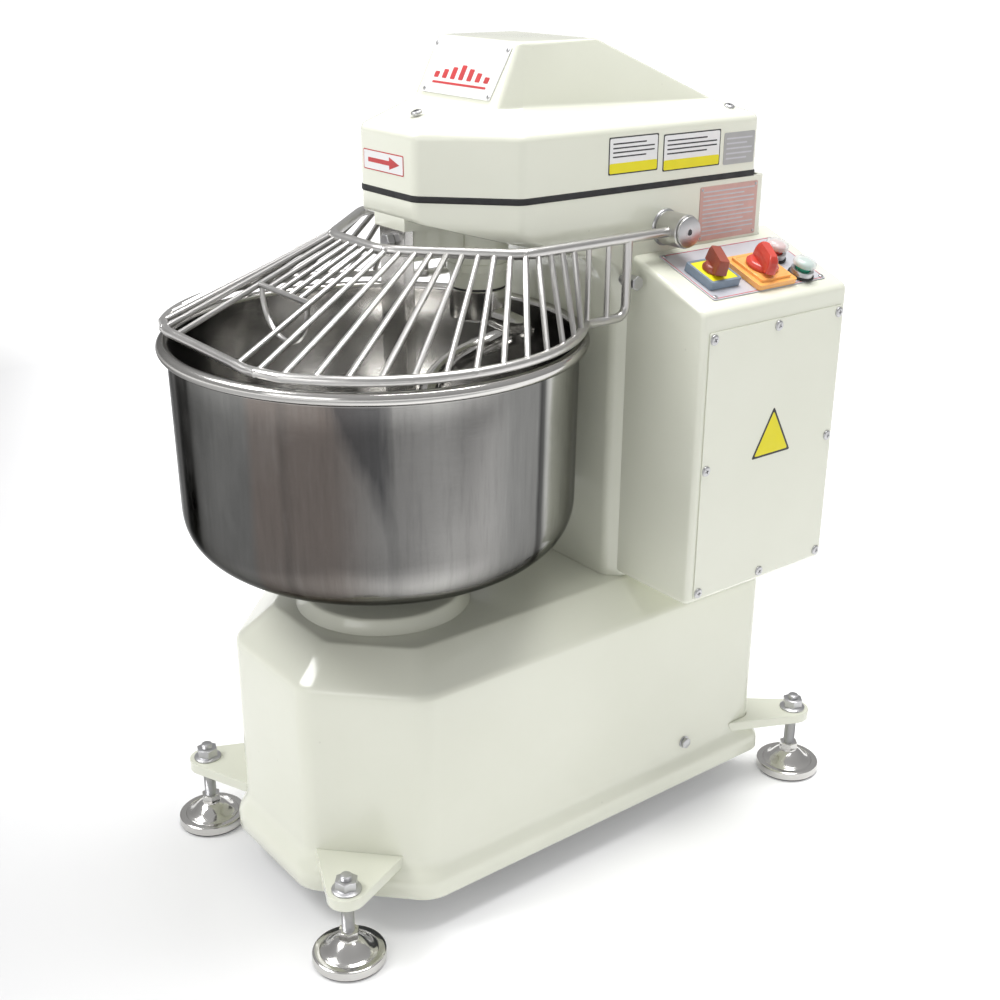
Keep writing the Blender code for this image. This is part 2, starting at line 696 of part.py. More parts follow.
def throat_levels():
    """Heights up the column's front with the front's place at each, through the throat to the head's floor."""
    floor_angle = math.atan(-HEAD_FLOOR_SLOPE)
    centre_y = COLUMN_FRONT_Y - THROAT_RADIUS
    tangent_y = centre_y + THROAT_RADIUS * math.sin(floor_angle)
    floor_z = HEAD_FLOOR_FRONT + HEAD_FLOOR_SLOPE * (tangent_y - HEAD_FRONT_Y)
    centre_z = floor_z - THROAT_RADIUS * math.cos(floor_angle)
    levels = [(BASE_TOP + GAP, COLUMN_FRONT_Y)]
    steps = 6
    for step in range(steps + 1):
        angle = (math.pi / 2 - floor_angle) * step / steps
        levels.append((centre_z + THROAT_RADIUS * math.sin(angle), centre_y + THROAT_RADIUS * math.cos(angle)))
    for share in (0.35, 0.70, 0.93):
        front_y = tangent_y + (HEAD_FRONT_Y - tangent_y) * share
        levels.append((HEAD_FLOOR_FRONT + HEAD_FLOOR_SLOPE * (front_y - HEAD_FRONT_Y), front_y))
    levels.append((HEAD_FLOOR_FRONT + 0.006, HEAD_FRONT_Y))
    levels.append((HEAD_SPLIT, HEAD_FRONT_Y))
    return levels


def column_solid(name, grow, lift=0.0, stretch=0.0):
    """The column and the head's lower half as one form; grow moves its walls and lift its floor."""
    levels = throat_levels()
    rings = []
    for index, (height, front_y) in enumerate(levels):
        if index == 0:
            height -= stretch
        elif index == len(levels) - 1:
            height += stretch
        else:
            height += lift
        outline = head_outline(front_y, grow, HEAD_CORNER + min(0.0, grow))
        rings.append([(x, y, height) for x, y in outline])
    return loft(name, rings, "cream_enamel", ROOT)


def build_column():
    shell = column_solid("column_shell", 0.0)
    inside = column_solid("column_inside", -COLUMN_WALL, lift=0.006, stretch=0.010)
    boolean(shell, inside, "DIFFERENCE")
    spiral = (0, SPIRAL_Y, 0)
    sleeve_hole = rod(
        "column_spiral_hole", SPIRAL_SLEEVE_HOLE_RADIUS, HEAD_FLOOR_FRONT - 0.072, HEAD_FLOOR_FRONT,
        "cream_enamel", ROOT, spiral,
    )
    boolean(shell, sleeve_hole, "DIFFERENCE")
    rear_hole = block(
        "column_rear_hole", (-REAR_HOLE_HALF_WIDTH, COLUMN_REAR_Y - REACH, REAR_HOLE_Z[0]),
        (REAR_HOLE_HALF_WIDTH, COLUMN_REAR_Y + REACH, REAR_HOLE_Z[1]), "cream_enamel", ROOT,
    )
    boolean(shell, rear_hole, "DIFFERENCE")
    outside = COLUMN_REAR_Y + GAP + REAR_PLATE_THICKNESS
    plate = block(
        "rear_cover", (-REAR_PLATE_HALF_WIDTH, COLUMN_REAR_Y + GAP, REAR_PLATE_Z[0]),
        (REAR_PLATE_HALF_WIDTH, outside, REAR_PLATE_Z[1]), "cream_enamel", ROOT,
    )
    screws = []
    for label, x in (("left", -REAR_SCREW_X), ("right", REAR_SCREW_X)):
        for index, z in enumerate(REAR_SCREW_Z):
            place = (x, outside - SCREW_SINK, z)
            screws.append(dome_screw(f"rear_screw_{label}_{index}", place, (-math.pi / 2, 0, 0)))
    fuse_all(plate, screws, "rear_screws")
    build_mount_plate()


def build_mount_plate():
    """The shelf in the column that the spiral's motor hangs from."""
    half, (front, rear), (bottom, top) = MOUNT_PLATE_HALF_WIDTH, MOUNT_PLATE_Y, MOUNT_PLATE_Z
    corners = [(-half, front), (half, front), (half, rear), (-half, rear)]
    mount = slab("motor_mount_plate", rounded(corners, [0.012] * 4, 2), bottom, top, "machined_steel", ROOT)
    opening = rod(
        "motor_mount_hole", MOTOR_HOLE_RADIUS, bottom - REACH, top + REACH, "machined_steel", ROOT, (0, MOTOR_Y, 0)
    )
    boolean(mount, opening, "DIFFERENCE")


def dome_screw(name, location, rotation, radius=SCREW_HEAD_RADIUS, height=SCREW_HEAD_HEIGHT):
    """A low round screw head, standing on its underside, a little sunk for welding to its plate."""
    profile = [(0, 0), (radius, 0), (radius, height * 0.6), (radius * 0.6, height), (0, height)]
    return turned(name, profile, "machined_steel", ROOT, location, rotation, steps=8)


def cover_rings(grow, drop, bottom):
    """Rings of the top cover, from its lower edge over the wall and the sloping deck to the hump's flat top."""
    wall = head_outline(HEAD_FRONT_Y, grow, HEAD_CORNER, COVER_REAR_Y)
    rings = [[(x, y, bottom) for x, y in wall], [(x, y, COVER_WALL_TOP - 0.008 - drop) for x, y in wall]]
    half, top_half = HUMP_HALF_WIDTH + grow, HUMP_TOP_HALF_WIDTH + grow
    foot = [
        (-half, HUMP_FRONT_Y - grow, HUMP_FOOT_Z), (half, HUMP_FRONT_Y - grow, HUMP_FOOT_Z),
        (half + 0.004, HUMP_FRONT_Y + 0.032, 0.9275), (half + 0.004, HUMP_REAR_Y + grow, 0.9215),
        (-half - 0.004, HUMP_REAR_Y + grow, 0.9215), (-half - 0.004, HUMP_FRONT_Y + 0.032, 0.9275),
    ]
    crown = [
        (-top_half, HUMP_TOP_FRONT_Y - grow, HUMP_TOP),
        (top_half, HUMP_TOP_FRONT_Y - grow, HUMP_TOP),
        (top_half + 0.001, HUMP_TOP_FRONT_Y + 0.016, HUMP_TOP),
        (top_half + 0.001, HUMP_TOP_REAR_Y + grow, HUMP_TOP),
        (-top_half - 0.001, HUMP_TOP_REAR_Y + grow, HUMP_TOP),
        (-top_half - 0.001, HUMP_TOP_FRONT_Y + 0.016, HUMP_TOP),
    ]
    shoulder = head_corner_ring(grow, COVER_WALL_TOP - 0.002 - drop, 0.004)
    rings.append(shoulder)
    rings.append(blend_ring(shoulder, spread_corners(foot, drop), 0.05, 0.0015))
    rings.append(spread_corners(foot, drop))
    rings.append(spread_corners(crown, drop))
    return rings


def head_corner_ring(grow, height, inwards):
    outline = head_outline(HEAD_FRONT_Y + inwards, grow - inwards, HEAD_CORNER - 0.002, COVER_REAR_Y)
    return [(x, y, height) for x, y in outline]


def spread_corners(corners, drop):
    """Six corners as a ring with as many points as a rounded outline, with a small arc at each corner."""
    flat = rounded([(x, y) for x, y, _ in corners], [HUMP_CORNER] * 6, CORNER_STEPS)
    points = []
    for index, (x, y) in enumerate(flat):
        points.append((x, y, corners[index // (CORNER_STEPS + 1)][2] - drop))
    return points


def blend_ring(first, second, share, lift):
    return [
        tuple(Vector(a).lerp(Vector(b), share) + Vector((0, 0, lift)))
        for a, b in zip(first, second)
    ]


def build_cover():
    gasket_top = HEAD_SPLIT + GASKET_HEIGHT
    outer = head_outline(HEAD_FRONT_Y, GASKET_PROUD, HEAD_CORNER, COVER_REAR_Y)
    inner = head_outline(HEAD_FRONT_Y, -0.010, HEAD_CORNER - 0.008, COVER_REAR_Y)
    gasket = slab("head_gasket", outer, HEAD_SPLIT + GAP, gasket_top, "black_rubber", ROOT)
    hole = slab("gasket_hole", inner, HEAD_SPLIT - REACH, HEAD_SPLIT + REACH, "black_rubber", ROOT)
    boolean(gasket, hole, "DIFFERENCE")
    bottom = gasket_top + GAP
    cover = loft("head_cover", cover_rings(0.0, 0.0, bottom), "cream_enamel", ROOT)
    inside = loft("cover_inside", cover_rings(-COVER_WALL, COVER_WALL, bottom - 0.02), "cream_enamel", ROOT)
    boolean(cover, inside, "DIFFERENCE")
    build_sign()


def build_sign():
    """The blank sign plate on the hump's sloping front."""
    low = Vector((0, HUMP_FRONT_Y, HUMP_FOOT_Z))
    high = Vector((0, HUMP_TOP_FRONT_Y, HUMP_TOP))
    up = (high - low).normalized()
    lean = math.atan2(up.y, up.z)
    half = SIGN_THICKNESS / 2
    middle = low.lerp(high, 0.50) + Vector((0, -math.cos(lean), math.sin(lean))) * (GAP + half)
    frame = add_empty("sign_frame", middle, ROOT)
    frame.rotation_euler = (-lean, 0, 0)
    block(
        "sign_plate", (-SIGN_HALF_WIDTH, -half, -SIGN_HALF_HEIGHT), (SIGN_HALF_WIDTH, half, SIGN_HALF_HEIGHT),
        "sign_white", frame,
    )


# ---------------------------------------------------------------- bowl


def bowl_section(thickness):
    """One side of the bowl's wall as (radius, height), from its flat bottom to under the rolled rim."""
    points = [(0, BOWL_BOTTOM_Z + thickness)]
    steps = 6
    for step in range(steps + 1):
        angle = math.pi / 2 * (1 - step / steps)
        power = 2 / BOWL_CURVE_POWER
        reach = BOWL_KNEE_RADIUS - BOWL_FLAT_RADIUS
        drop = BOWL_KNEE_Z - BOWL_BOTTOM_Z
        radius = BOWL_FLAT_RADIUS + reach * max(0.0, math.cos(angle)) ** power
        height = BOWL_KNEE_Z - drop * math.sin(angle) ** power
        slope = step / steps
        points.append((radius - thickness * slope, height + thickness * (1 - slope)))
    points.append((BOWL_WALL_RADIUS - thickness, BOWL_RIM_Z - BOWL_BEAD))
    return points


def build_bowl():
    outer = bowl_section(0.0)
    inner = bowl_section(BOWL_WALL)
    bead = []
    for step in range(6):
        angle = math.radians(-120 + 60 * step)
        bead.append((BOWL_RIM_RADIUS + BOWL_BEAD * math.cos(angle), BOWL_RIM_Z + BOWL_BEAD * math.sin(angle)))
    profile = outer + bead + [(BOWL_WALL_RADIUS - BOWL_WALL, BOWL_RIM_Z - 0.004)] + inner[-2::-1]
    turned("bowl", profile, "polished_stainless", ROOT, steps=44)
    carrier = [
        (0, BOWL_SHAFT_BOTTOM), (BOWL_SHAFT_RADIUS, BOWL_SHAFT_BOTTOM), (BOWL_SHAFT_RADIUS, BASE_TOP + 0.024),
        (0.046, BASE_TOP + 0.024), (0.050, BASE_TOP + 0.028), (0.050, BASE_TOP + 0.040),
        (BOWL_PLATE_RADIUS, BASE_TOP + 0.046), (BOWL_PLATE_RADIUS, BOWL_BOTTOM_Z - GAP), (0, BOWL_BOTTOM_Z - GAP),
    ]
    turned("bowl_carrier", carrier, "cast_iron", ROOT, steps=24)
    bore, radius, top = BOWL_BEARING_RADIUS + GAP, BOWL_HOUSING_RADIUS, BASE_TOP + BOWL_HOUSING_HEIGHT
    housing = [
        (bore, BOWL_HOUSING_BOTTOM), (BOWL_HOUSING_NECK_RADIUS, BOWL_HOUSING_BOTTOM),
        (BOWL_HOUSING_NECK_RADIUS, BASE_TOP + GAP), (radius, BASE_TOP + GAP),
        (radius - 0.0015, BASE_TOP + 0.005), (radius - 0.0085, top - 0.002), (radius - 0.0115, top), (bore, top),
    ]
    turned("bowl_bearing_housing", housing, "cream_enamel", ROOT, steps=32)
    race = BOWL_SHAFT_RADIUS + RUNNING_GAP
    ring("bowl_bearing", race, BOWL_BEARING_RADIUS, *BOWL_BEARING_Z, "machined_steel", ROOT)


# ---------------------------------------------------------------- belt drives


def wheel_profile(radius, centre_z, bore):
    """A flanged belt wheel: the belt runs on radius between two rims."""
    half = BELT_HEIGHT / 2
    rim = radius + BELT_THICKNESS
    low, high = centre_z - half - 0.005, centre_z + half + 0.005
    return [
        (bore, low), (rim, low), (rim, low + 0.004), (radius, low + 0.0045),
        (radius, high - 0.0045), (rim, high - 0.004), (rim, high), (bore, high),
    ]


def belt_outline(near, near_radius, far, far_radius):
    """The loop round two wheels whose centres lie on the Y axis, near in front of far."""
    lean = math.degrees(math.asin((near_radius - far_radius) / (far - near)))
    front = arc_points((0, near, 0), near_radius, 180 - lean, 360 + lean, 20)
    back = arc_points((0, far, 0), far_radius, lean, 180 - lean, 8)
    return [(x, y) for x, y, _ in front + back]


def build_belt(name, near, far, centre_z):
    half = BELT_HEIGHT / 2 - 0.0016
    inner = belt_outline(near, DRIVEN_RADIUS + BELT_CLEARANCE, far, DRIVER_RADIUS + BELT_CLEARANCE)
    outer = belt_outline(near, DRIVEN_RADIUS + BELT_THICKNESS - 0.001, far, DRIVER_RADIUS + BELT_THICKNESS - 0.001)
    belt = slab(name, outer, centre_z - half, centre_z + half, "black_rubber", ROOT)
    hollow = slab(f"{name}_hollow", inner, centre_z - REACH, centre_z + REACH, "black_rubber", ROOT)
    boolean(belt, hollow, "DIFFERENCE")


def build_spiral_drive():
    shaft_bore = SPIRAL_SHAFT_RADIUS + GAP
    place = (0, SPIRAL_Y, 0)
    wheel = wheel_profile(DRIVEN_RADIUS, SPIRAL_BELT_Z, shaft_bore)
    turned("spiral_pulley", wheel, "cast_iron", ROOT, place, steps=32)
    rod("spiral_shaft", SPIRAL_SHAFT_RADIUS, SPIRAL_HUB_TOP + GAP, SPIRAL_SHAFT_TOP, "machined_steel", ROOT, place)
    build_motor("spiral_motor", MOTOR_Y, *SPIRAL_MOTOR_Z, SPIRAL_BELT_Z)
    build_belt("spiral_belt", SPIRAL_Y, MOTOR_Y, SPIRAL_BELT_Z)
    bore, radius, bottom, top = SPIRAL_SLEEVE_BORE, SPIRAL_SLEEVE_RADIUS, SPIRAL_SLEEVE_BOTTOM, SPIRAL_SLEEVE_TOP
    housing = [
        (bore, bottom), (radius - 0.0003, bottom), (radius, bottom + 0.001), (radius, 0.7385), (0.0375, 0.7395),
        (0.0375, 0.7480), (0.0360, 0.7490), (0.0360, top - 0.008), (0.0560, top - 0.008),
        (0.0560, top), (bore, top),
    ]
    turned("spiral_bearing_housing", housing, "cream_enamel", ROOT, place, steps=28)
    ring(
        "spiral_bearing", SPIRAL_SHAFT_RADIUS + RUNNING_GAP, SPIRAL_BEARING_RADIUS, *SPIRAL_BEARING_Z,
        "machined_steel", ROOT, place,
    )


def build_motor(name, place_y, bottom, top, belt_z):
    """A flange motor with its shaft up, and the turning shaft with its small wheel."""
    radius, flange, cowl = MOTOR_RADIUS, MOTOR_FLANGE_RADIUS, MOTOR_RADIUS - 0.008
    pocket, pocket_floor = MOTOR_SHAFT_RADIUS + 0.002, top - MOTOR_SHAFT_LENGTH_IN - 0.001
    body = [
        (0, bottom), (cowl - 0.010, bottom), (cowl, bottom + 0.008), (cowl, bottom + 0.035),
        (radius, bottom + 0.040), (radius, top - 0.030), (radius - 0.010, top - 0.026),
        (radius - 0.010, top - 0.012), (flange, top - 0.011), (flange, top),
        (pocket, top), (pocket, pocket_floor), (0, pocket_floor),
    ]
    place = (0, place_y, 0)
    turned(name, body, "cast_iron", ROOT, place, steps=20)
    shaft_bottom = top - MOTOR_SHAFT_LENGTH_IN
    wheel = [(0, shaft_bottom), (MOTOR_SHAFT_RADIUS, shaft_bottom)]
    wheel += wheel_profile(DRIVER_RADIUS, belt_z, MOTOR_SHAFT_RADIUS)
    wheel.append((0, belt_z + BELT_HEIGHT / 2 + 0.005))
    turned(f"{name}_shaft", wheel, "machined_steel", ROOT, place, steps=20)


def build_bowl_drive():
    bore = BOWL_SHAFT_RADIUS + GAP
    turned("bowl_pulley", wheel_profile(DRIVEN_RADIUS, BOWL_BELT_Z, bore), "cast_iron", ROOT, steps=32)
    build_motor("bowl_motor", BOWL_MOTOR_Y, FLOOR_PLATE_TOP + GAP, BOWL_MOTOR_TOP, BOWL_BELT_Z)
    build_belt("bowl_belt", 0.0, BOWL_MOTOR_Y, BOWL_BELT_Z)


# ---------------------------------------------------------------- tools in the bowl


def build_spiral_hook():
    """The turning hub with a round bar that leaves its underside, swings out and winds down to the bowl."""
    place = add_empty("spiral_axis", (0, SPIRAL_Y, 0), ROOT)
    hub = [
        (0, SPIRAL_HUB_BOTTOM), (SPIRAL_HUB_RADIUS - 0.003, SPIRAL_HUB_BOTTOM),
        (SPIRAL_HUB_RADIUS, SPIRAL_HUB_BOTTOM + 0.003), (SPIRAL_HUB_RADIUS, SPIRAL_HUB_TOP - 0.001),
        (SPIRAL_HUB_RADIUS - 0.001, SPIRAL_HUB_TOP), (0, SPIRAL_HUB_TOP),
    ]
    hook = turned("spiral_hook", hub, "polished_stainless", place, steps=32)
    bar = tube("spiral_bar", spiral_line(34), SPIRAL_ROD_RADIUS, "polished_stainless", place, resolution=3)
    boolean(hook, bar, "UNION")
    ring(
        "spiral_seal", SPIRAL_SHAFT_RADIUS + RUNNING_GAP, SPIRAL_SEAL_RADIUS, SPIRAL_HUB_TOP + GAP, SPIRAL_SEAL_TOP,
        "black_rubber", place,
    )


def spiral_line(steps):
    """The middle of the spiral's bar, about the spiral's own axis."""
    points = []
    start = SPIRAL_HUB_BOTTOM + 0.012
    for step in range(steps + 1):
        share = step / steps
        swing = min(1.0, share / SPIRAL_SWING_SHARE)
        reach = SPIRAL_START_RADIUS
        reach += (SPIRAL_SWEEP_RADIUS - SPIRAL_START_RADIUS) * math.sin(swing * math.pi / 2) ** 1.2
        reach *= 1 - SPIRAL_TIP_TUCK * max(0.0, share - SPIRAL_TIP_SHARE) / (1 - SPIRAL_TIP_SHARE)
        angle = math.radians(SPIRAL_START_DEG + SPIRAL_TURN_DEG * share)
        height = start - (start - SPIRAL_LOW_Z) * (0.30 * share + 0.70 * share ** 1.15)
        points.append((reach * math.cos(angle), reach * math.sin(angle), height))
    return points


def build_breaker_bar():
    back = BAR_FRONT_Y + BAR_THICKNESS
    outline_levels = [
        (BAR_BOTTOM, -0.009, BAR_HALF_WIDTH - 0.004),
        (BAR_BOTTOM + 0.010, -0.012, BAR_HALF_WIDTH - 0.001),
        (BAR_SHOULDER_Z, -BAR_HALF_WIDTH, BAR_HALF_WIDTH),
        (BAR_TOP, -BAR_HALF_WIDTH, BAR_HALF_WIDTH),
    ]
    rings = []
    for height, left, right in outline_levels:
        corners = [(left, BAR_FRONT_Y), (right, BAR_FRONT_Y), (right, back), (left, back)]
        rings.append([(x, y, height) for x, y in rounded(corners, [0.002] * 4, 2)])
    bar = loft("breaker_bar", rings, "brushed_stainless", ROOT)
    across = (math.pi / 2, 0, 0)
    bolt_at = (0, BAR_FRONT_Y - GAP, BAR_BOLT_Z)
    hole_radius = BAR_BOLT_RADIUS + GAP
    hole = rod("breaker_bar_hole", hole_radius, -REACH, REACH, "brushed_stainless", ROOT, bolt_at, across, steps=16)
    boolean(bar, hole, "DIFFERENCE")
    (front, rear), half = BAR_BRACKET_Y, BAR_BRACKET_HALF_WIDTH
    bracket = block(
        "breaker_bracket", (-half, front, BAR_TOP + GAP), (half, rear, BAR_TOP + REACH), "cream_enamel", ROOT
    )
    web = block(
        "breaker_web", (-BAR_WEB_HALF_WIDTH, back + GAP, BAR_WEB_Z[0]),
        (BAR_WEB_HALF_WIDTH, rear - 0.0005, BAR_WEB_Z[1]), "cream_enamel", ROOT,
    )
    boolean(bracket, web, "UNION")
    boolean(bracket, bpy.data.objects["column_clearance"], "DIFFERENCE")
    middle = (0, (back + rear) / 2, BAR_BOLT_Z)
    web_hole = rod("breaker_web_hole", hole_radius, -REACH, REACH, "cream_enamel", ROOT, middle, across, steps=16)
    boolean(bracket, web_hole, "DIFFERENCE")
    bolt = hexagon("breaker_bolt", BAR_BOLT_ACROSS_FLATS, 0, 0.009, "machined_steel", ROOT, bolt_at, across)
    shank = rod(
        "breaker_bolt_shank", BAR_BOLT_RADIUS, -0.040, 0.004, "machined_steel", ROOT, bolt_at, across, steps=16
    )
    boolean(bolt, shank, "UNION")


# ---------------------------------------------------------------- bowl guard


def upper_path():
    """The upper tube, from the right hinge round the front to the left one."""
    right = [
        (GUARD_HALF_WIDTH, GUARD_HINGE_Y, GUARD_HINGE_Z),
        (GUARD_HALF_WIDTH, GUARD_CHAMFER_Y, GUARD_HINGE_Z),
        (GUARD_NOSE_HALF_WIDTH, GUARD_FRONT_Y, GUARD_HINGE_Z),
    ]
    return softened(right + mirrored(reversed(right)), GUARD_TUBE_BEND)


def ring_path():
    """From the right arm down to the ring, round the front with its straight chord, and back up the left."""
    side_angle = math.degrees(math.acos(GUARD_HALF_WIDTH / GUARD_RING_RADIUS))
    chord_angle = math.degrees(math.asin(GUARD_CHORD_Y / GUARD_RING_RADIUS))
    right = softened(
        [
            (GUARD_HALF_WIDTH, GUARD_REAR_Y, GUARD_HINGE_Z),
            (GUARD_HALF_WIDTH, GUARD_REAR_Y, GUARD_RING_Z),
            (GUARD_HALF_WIDTH, GUARD_RING_RADIUS * math.sin(math.radians(side_angle)) + 0.004, GUARD_RING_Z),
        ],
        GUARD_END_BEND,
    )
    right += arc_points((0, 0, GUARD_RING_Z), GUARD_RING_RADIUS, side_angle - 3, chord_angle + 7, 15)
    corner_x = GUARD_RING_RADIUS * math.cos(math.radians(chord_angle))
    right.append((corner_x - 0.004, GUARD_CHORD_Y + 0.004, GUARD_RING_Z))
    right.append((corner_x - 0.018, GUARD_CHORD_Y, GUARD_RING_Z))
    return right + mirrored(reversed(right))


def rod_tops():
    """Evenly spaced places along the upper tube, from the feed opening's rod to the last sloping one."""
    corners = [
        Vector((GUARD_FEED_TOP_X, GUARD_FRONT_Y)),
        Vector((GUARD_NOSE_HALF_WIDTH, GUARD_FRONT_Y)),
        Vector((GUARD_HALF_WIDTH, GUARD_CHAMFER_Y)),
        Vector((GUARD_HALF_WIDTH, GUARD_LAST_ROD_Y)),
    ]
    lengths = [(b - a).length for a, b in zip(corners, corners[1:])]
    places = []
    for index in range(GUARD_RODS + 1):
        along = sum(lengths) * index / GUARD_RODS
        for start, end, length in zip(corners, corners[1:], lengths):
            if along <= length + 1e-9:
                places.append(start.lerp(end, along / length))
                break
            along -= length
    return places


def guard_rods():
    """The ends of every straight rod on the right-hand half, as pairs of points."""
    pairs = []
    for index, top in enumerate(rod_tops()):
        if index == 0:
            foot = (GUARD_FEED_BOTTOM_X, GUARD_CHORD_Y, GUARD_RING_Z)
        else:
            angle = math.radians(GUARD_FIRST_ROD_DEG + GUARD_ROD_STEP_DEG * (index - 1))
            foot = (GUARD_RING_RADIUS * math.cos(angle), GUARD_RING_RADIUS * math.sin(angle), GUARD_RING_Z)
            if foot[1] < GUARD_CHORD_Y:
                foot = (foot[0], GUARD_CHORD_Y + 0.003, GUARD_RING_Z)
        pairs.append(((top.x, top.y, GUARD_HINGE_Z), foot))
    for place_y in GUARD_UPRIGHT_Y:
        pairs.append(((GUARD_HALF_WIDTH, place_y, GUARD_HINGE_Z), (GUARD_HALF_WIDTH, place_y, GUARD_RING_Z)))
    return pairs


def build_guard():
    """The welded wire cage over the bowl, with its two hinge bosses."""
    hinge = add_empty("guard_axis", (0, GUARD_HINGE_Y, GUARD_HINGE_Z), ROOT)
    offset = add_empty("guard_offset", (0, -GUARD_HINGE_Y, -GUARD_HINGE_Z), hinge)
    steel = "polished_stainless"
    cage = tube("guard_cage", upper_path(), GUARD_TUBE_RADIUS, steel, offset, resolution=2)
    parts = [tube("guard_ring", ring_path(), GUARD_RING_TUBE, steel, offset)]
    pairs = guard_rods()
    for index, (top, foot) in enumerate(pairs):
        for label, ends in (("right", [top, foot]), ("left", mirrored([top, foot]))):
            parts.append(tube(f"guard_rod_{label}_{index}", ends, GUARD_ROD_RADIUS, steel, offset, resolution=1))
    feed_top, feed_foot = (Vector(end) for end in pairs[0])
    bar_end = feed_top.lerp(feed_foot, GUARD_FEED_BAR_SHARE)
    bar = [tuple(bar_end), (-bar_end.x, bar_end.y, bar_end.z)]
    parts.append(tube("guard_feed_bar", bar, GUARD_ROD_RADIUS, steel, offset, resolution=1))
    for index in range(GUARD_SHORT_RODS):
        share = 2 * (index + 1) / (GUARD_SHORT_RODS + 1) - 1
        ends = [(GUARD_FEED_TOP_X * share, GUARD_FRONT_Y, GUARD_HINGE_Z), (bar_end.x * share, bar_end.y, bar_end.z)]
        parts.append(tube(f"guard_short_rod_{index}", ends, GUARD_ROD_RADIUS, steel, offset, resolution=1))
    loop = []
    for step in range(13):
        angle = math.pi * step / 12
        reach = (bar_end.x - 0.005) * math.cos(angle)
        loop.append((reach, bar_end.y, bar_end.z - GUARD_LOOP_DEPTH * math.sin(angle) ** 0.8))
    parts.append(tube("guard_loop", loop, GUARD_ROD_RADIUS * 0.9, steel, offset, resolution=1))
    middle = (GUARD_BOSS_INNER_X + GUARD_BOSS_OUTER_X) / 2
    half = (GUARD_BOSS_OUTER_X - GUARD_BOSS_INNER_X) / 2
    bore_radius = GUARD_PIN_RADIUS + RUNNING_GAP
    turn = (0, math.pi / 2, 0)
    bores = []
    for side in (1, -1):
        place = (side * middle, GUARD_HINGE_Y, GUARD_HINGE_Z)
        parts.append(rod(f"guard_boss_{side}", GUARD_BOSS_RADIUS, -half, half, steel, offset, place, turn))
        bores.append(rod(f"guard_bore_{side}", bore_radius, -REACH, REACH, steel, offset, place, turn, steps=20))
    fuse_all(cage, parts, "guard_welds")
    for bore in bores:
        boolean(cage, bore, "DIFFERENCE")


def build_guard_fixings():
    """The two hinge pins and the two stop studs on the head's sides."""
    for side, label in ((1, "right"), (-1, "left")):
        turn = (0, side * math.pi / 2, 0)
        start = HEAD_HALF_WIDTH + GAP
        pin_end = GUARD_BOSS_OUTER_X + RUNNING_GAP
        length = pin_end - start
        profile = [
            (0, 0), (PIN_FLANGE_RADIUS, 0), (PIN_FLANGE_RADIUS - 0.001, 0.0022), (GUARD_PIN_RADIUS, 0.0027),
            (GUARD_PIN_RADIUS, length), (PIN_HEAD_RADIUS, length), (PIN_HEAD_RADIUS, length + 0.002),
            (PIN_HEAD_RADIUS - 0.0015, length + 0.0035), (0, length + 0.0035),
        ]
        place = (side * start, GUARD_HINGE_Y, GUARD_HINGE_Z)
        pin = turned(f"guard_pin_{label}", profile, "machined_steel", ROOT, place, turn, steps=20)
        socket = hexagon(
            f"guard_socket_{label}", PIN_SOCKET, length - 0.002, length + REACH, "machined_steel", ROOT, place, turn
        )
        boolean(pin, socket, "DIFFERENCE")
        place = (side * start, STOP_Y, STOP_Z)
        stud = rod(
            f"guard_stop_{label}", STOP_SHANK_RADIUS, 0, 0.020, "machined_steel", ROOT, place, turn, steps=16
        )
        head = hexagon(
            f"guard_stop_head_{label}", 2 * STOP_RADIUS, 0.006, 0.0285, "machined_steel", ROOT, place, turn
        )
        boolean(stud, head, "UNION")


# ---------------------------------------------------------------- electrical box and controls


def box_profile(low_x, wall):
    """The box's section across the machine, as (x, z), counter-clockwise seen from the front."""
    slope = (BOX_TOP_OUTER - BOX_TOP_INNER) / (BOX_OUTER_X - HEAD_HALF_WIDTH)
    drop = wall / math.cos(PANEL_ANGLE)
    outer = BOX_OUTER_X - wall
    inner_top = BOX_TOP_INNER + slope * (low_x - HEAD_HALF_WIDTH) - drop
    outer_top = BOX_TOP_INNER + slope * (outer - HEAD_HALF_WIDTH) - drop
    return [(low_x, BOX_BOTTOM + wall), (outer, BOX_BOTTOM + wall), (outer, outer_top), (low_x, inner_top)]


def box_prism(name, low_x, wall, outer_radius, front_radius):
    """The section run along Y, its long outer edges and its front and rear edges rounded."""
    rings = []
    ends = [
        (BOX_FRONT_Y + wall, front_radius), (BOX_FRONT_Y + wall + front_radius * 0.3, front_radius * 0.3),
        (BOX_FRONT_Y + wall + front_radius, 0.0), (BOX_REAR_Y - wall - front_radius, 0.0),
        (BOX_REAR_Y - wall - front_radius * 0.3, front_radius * 0.3), (BOX_REAR_Y - wall, front_radius),
    ]
    section = box_profile(low_x, wall)
    for place_y, shrink in ends:
        corners = inset(section, [shrink, shrink, shrink, 0.0])
        radii = [0.0005, outer_radius * 0.6, outer_radius, 0.0005]
        rings.append([(x, place_y, z) for x, z in rounded(corners, radii, 4)])
    return loft(name, rings, "cream_enamel", ROOT)


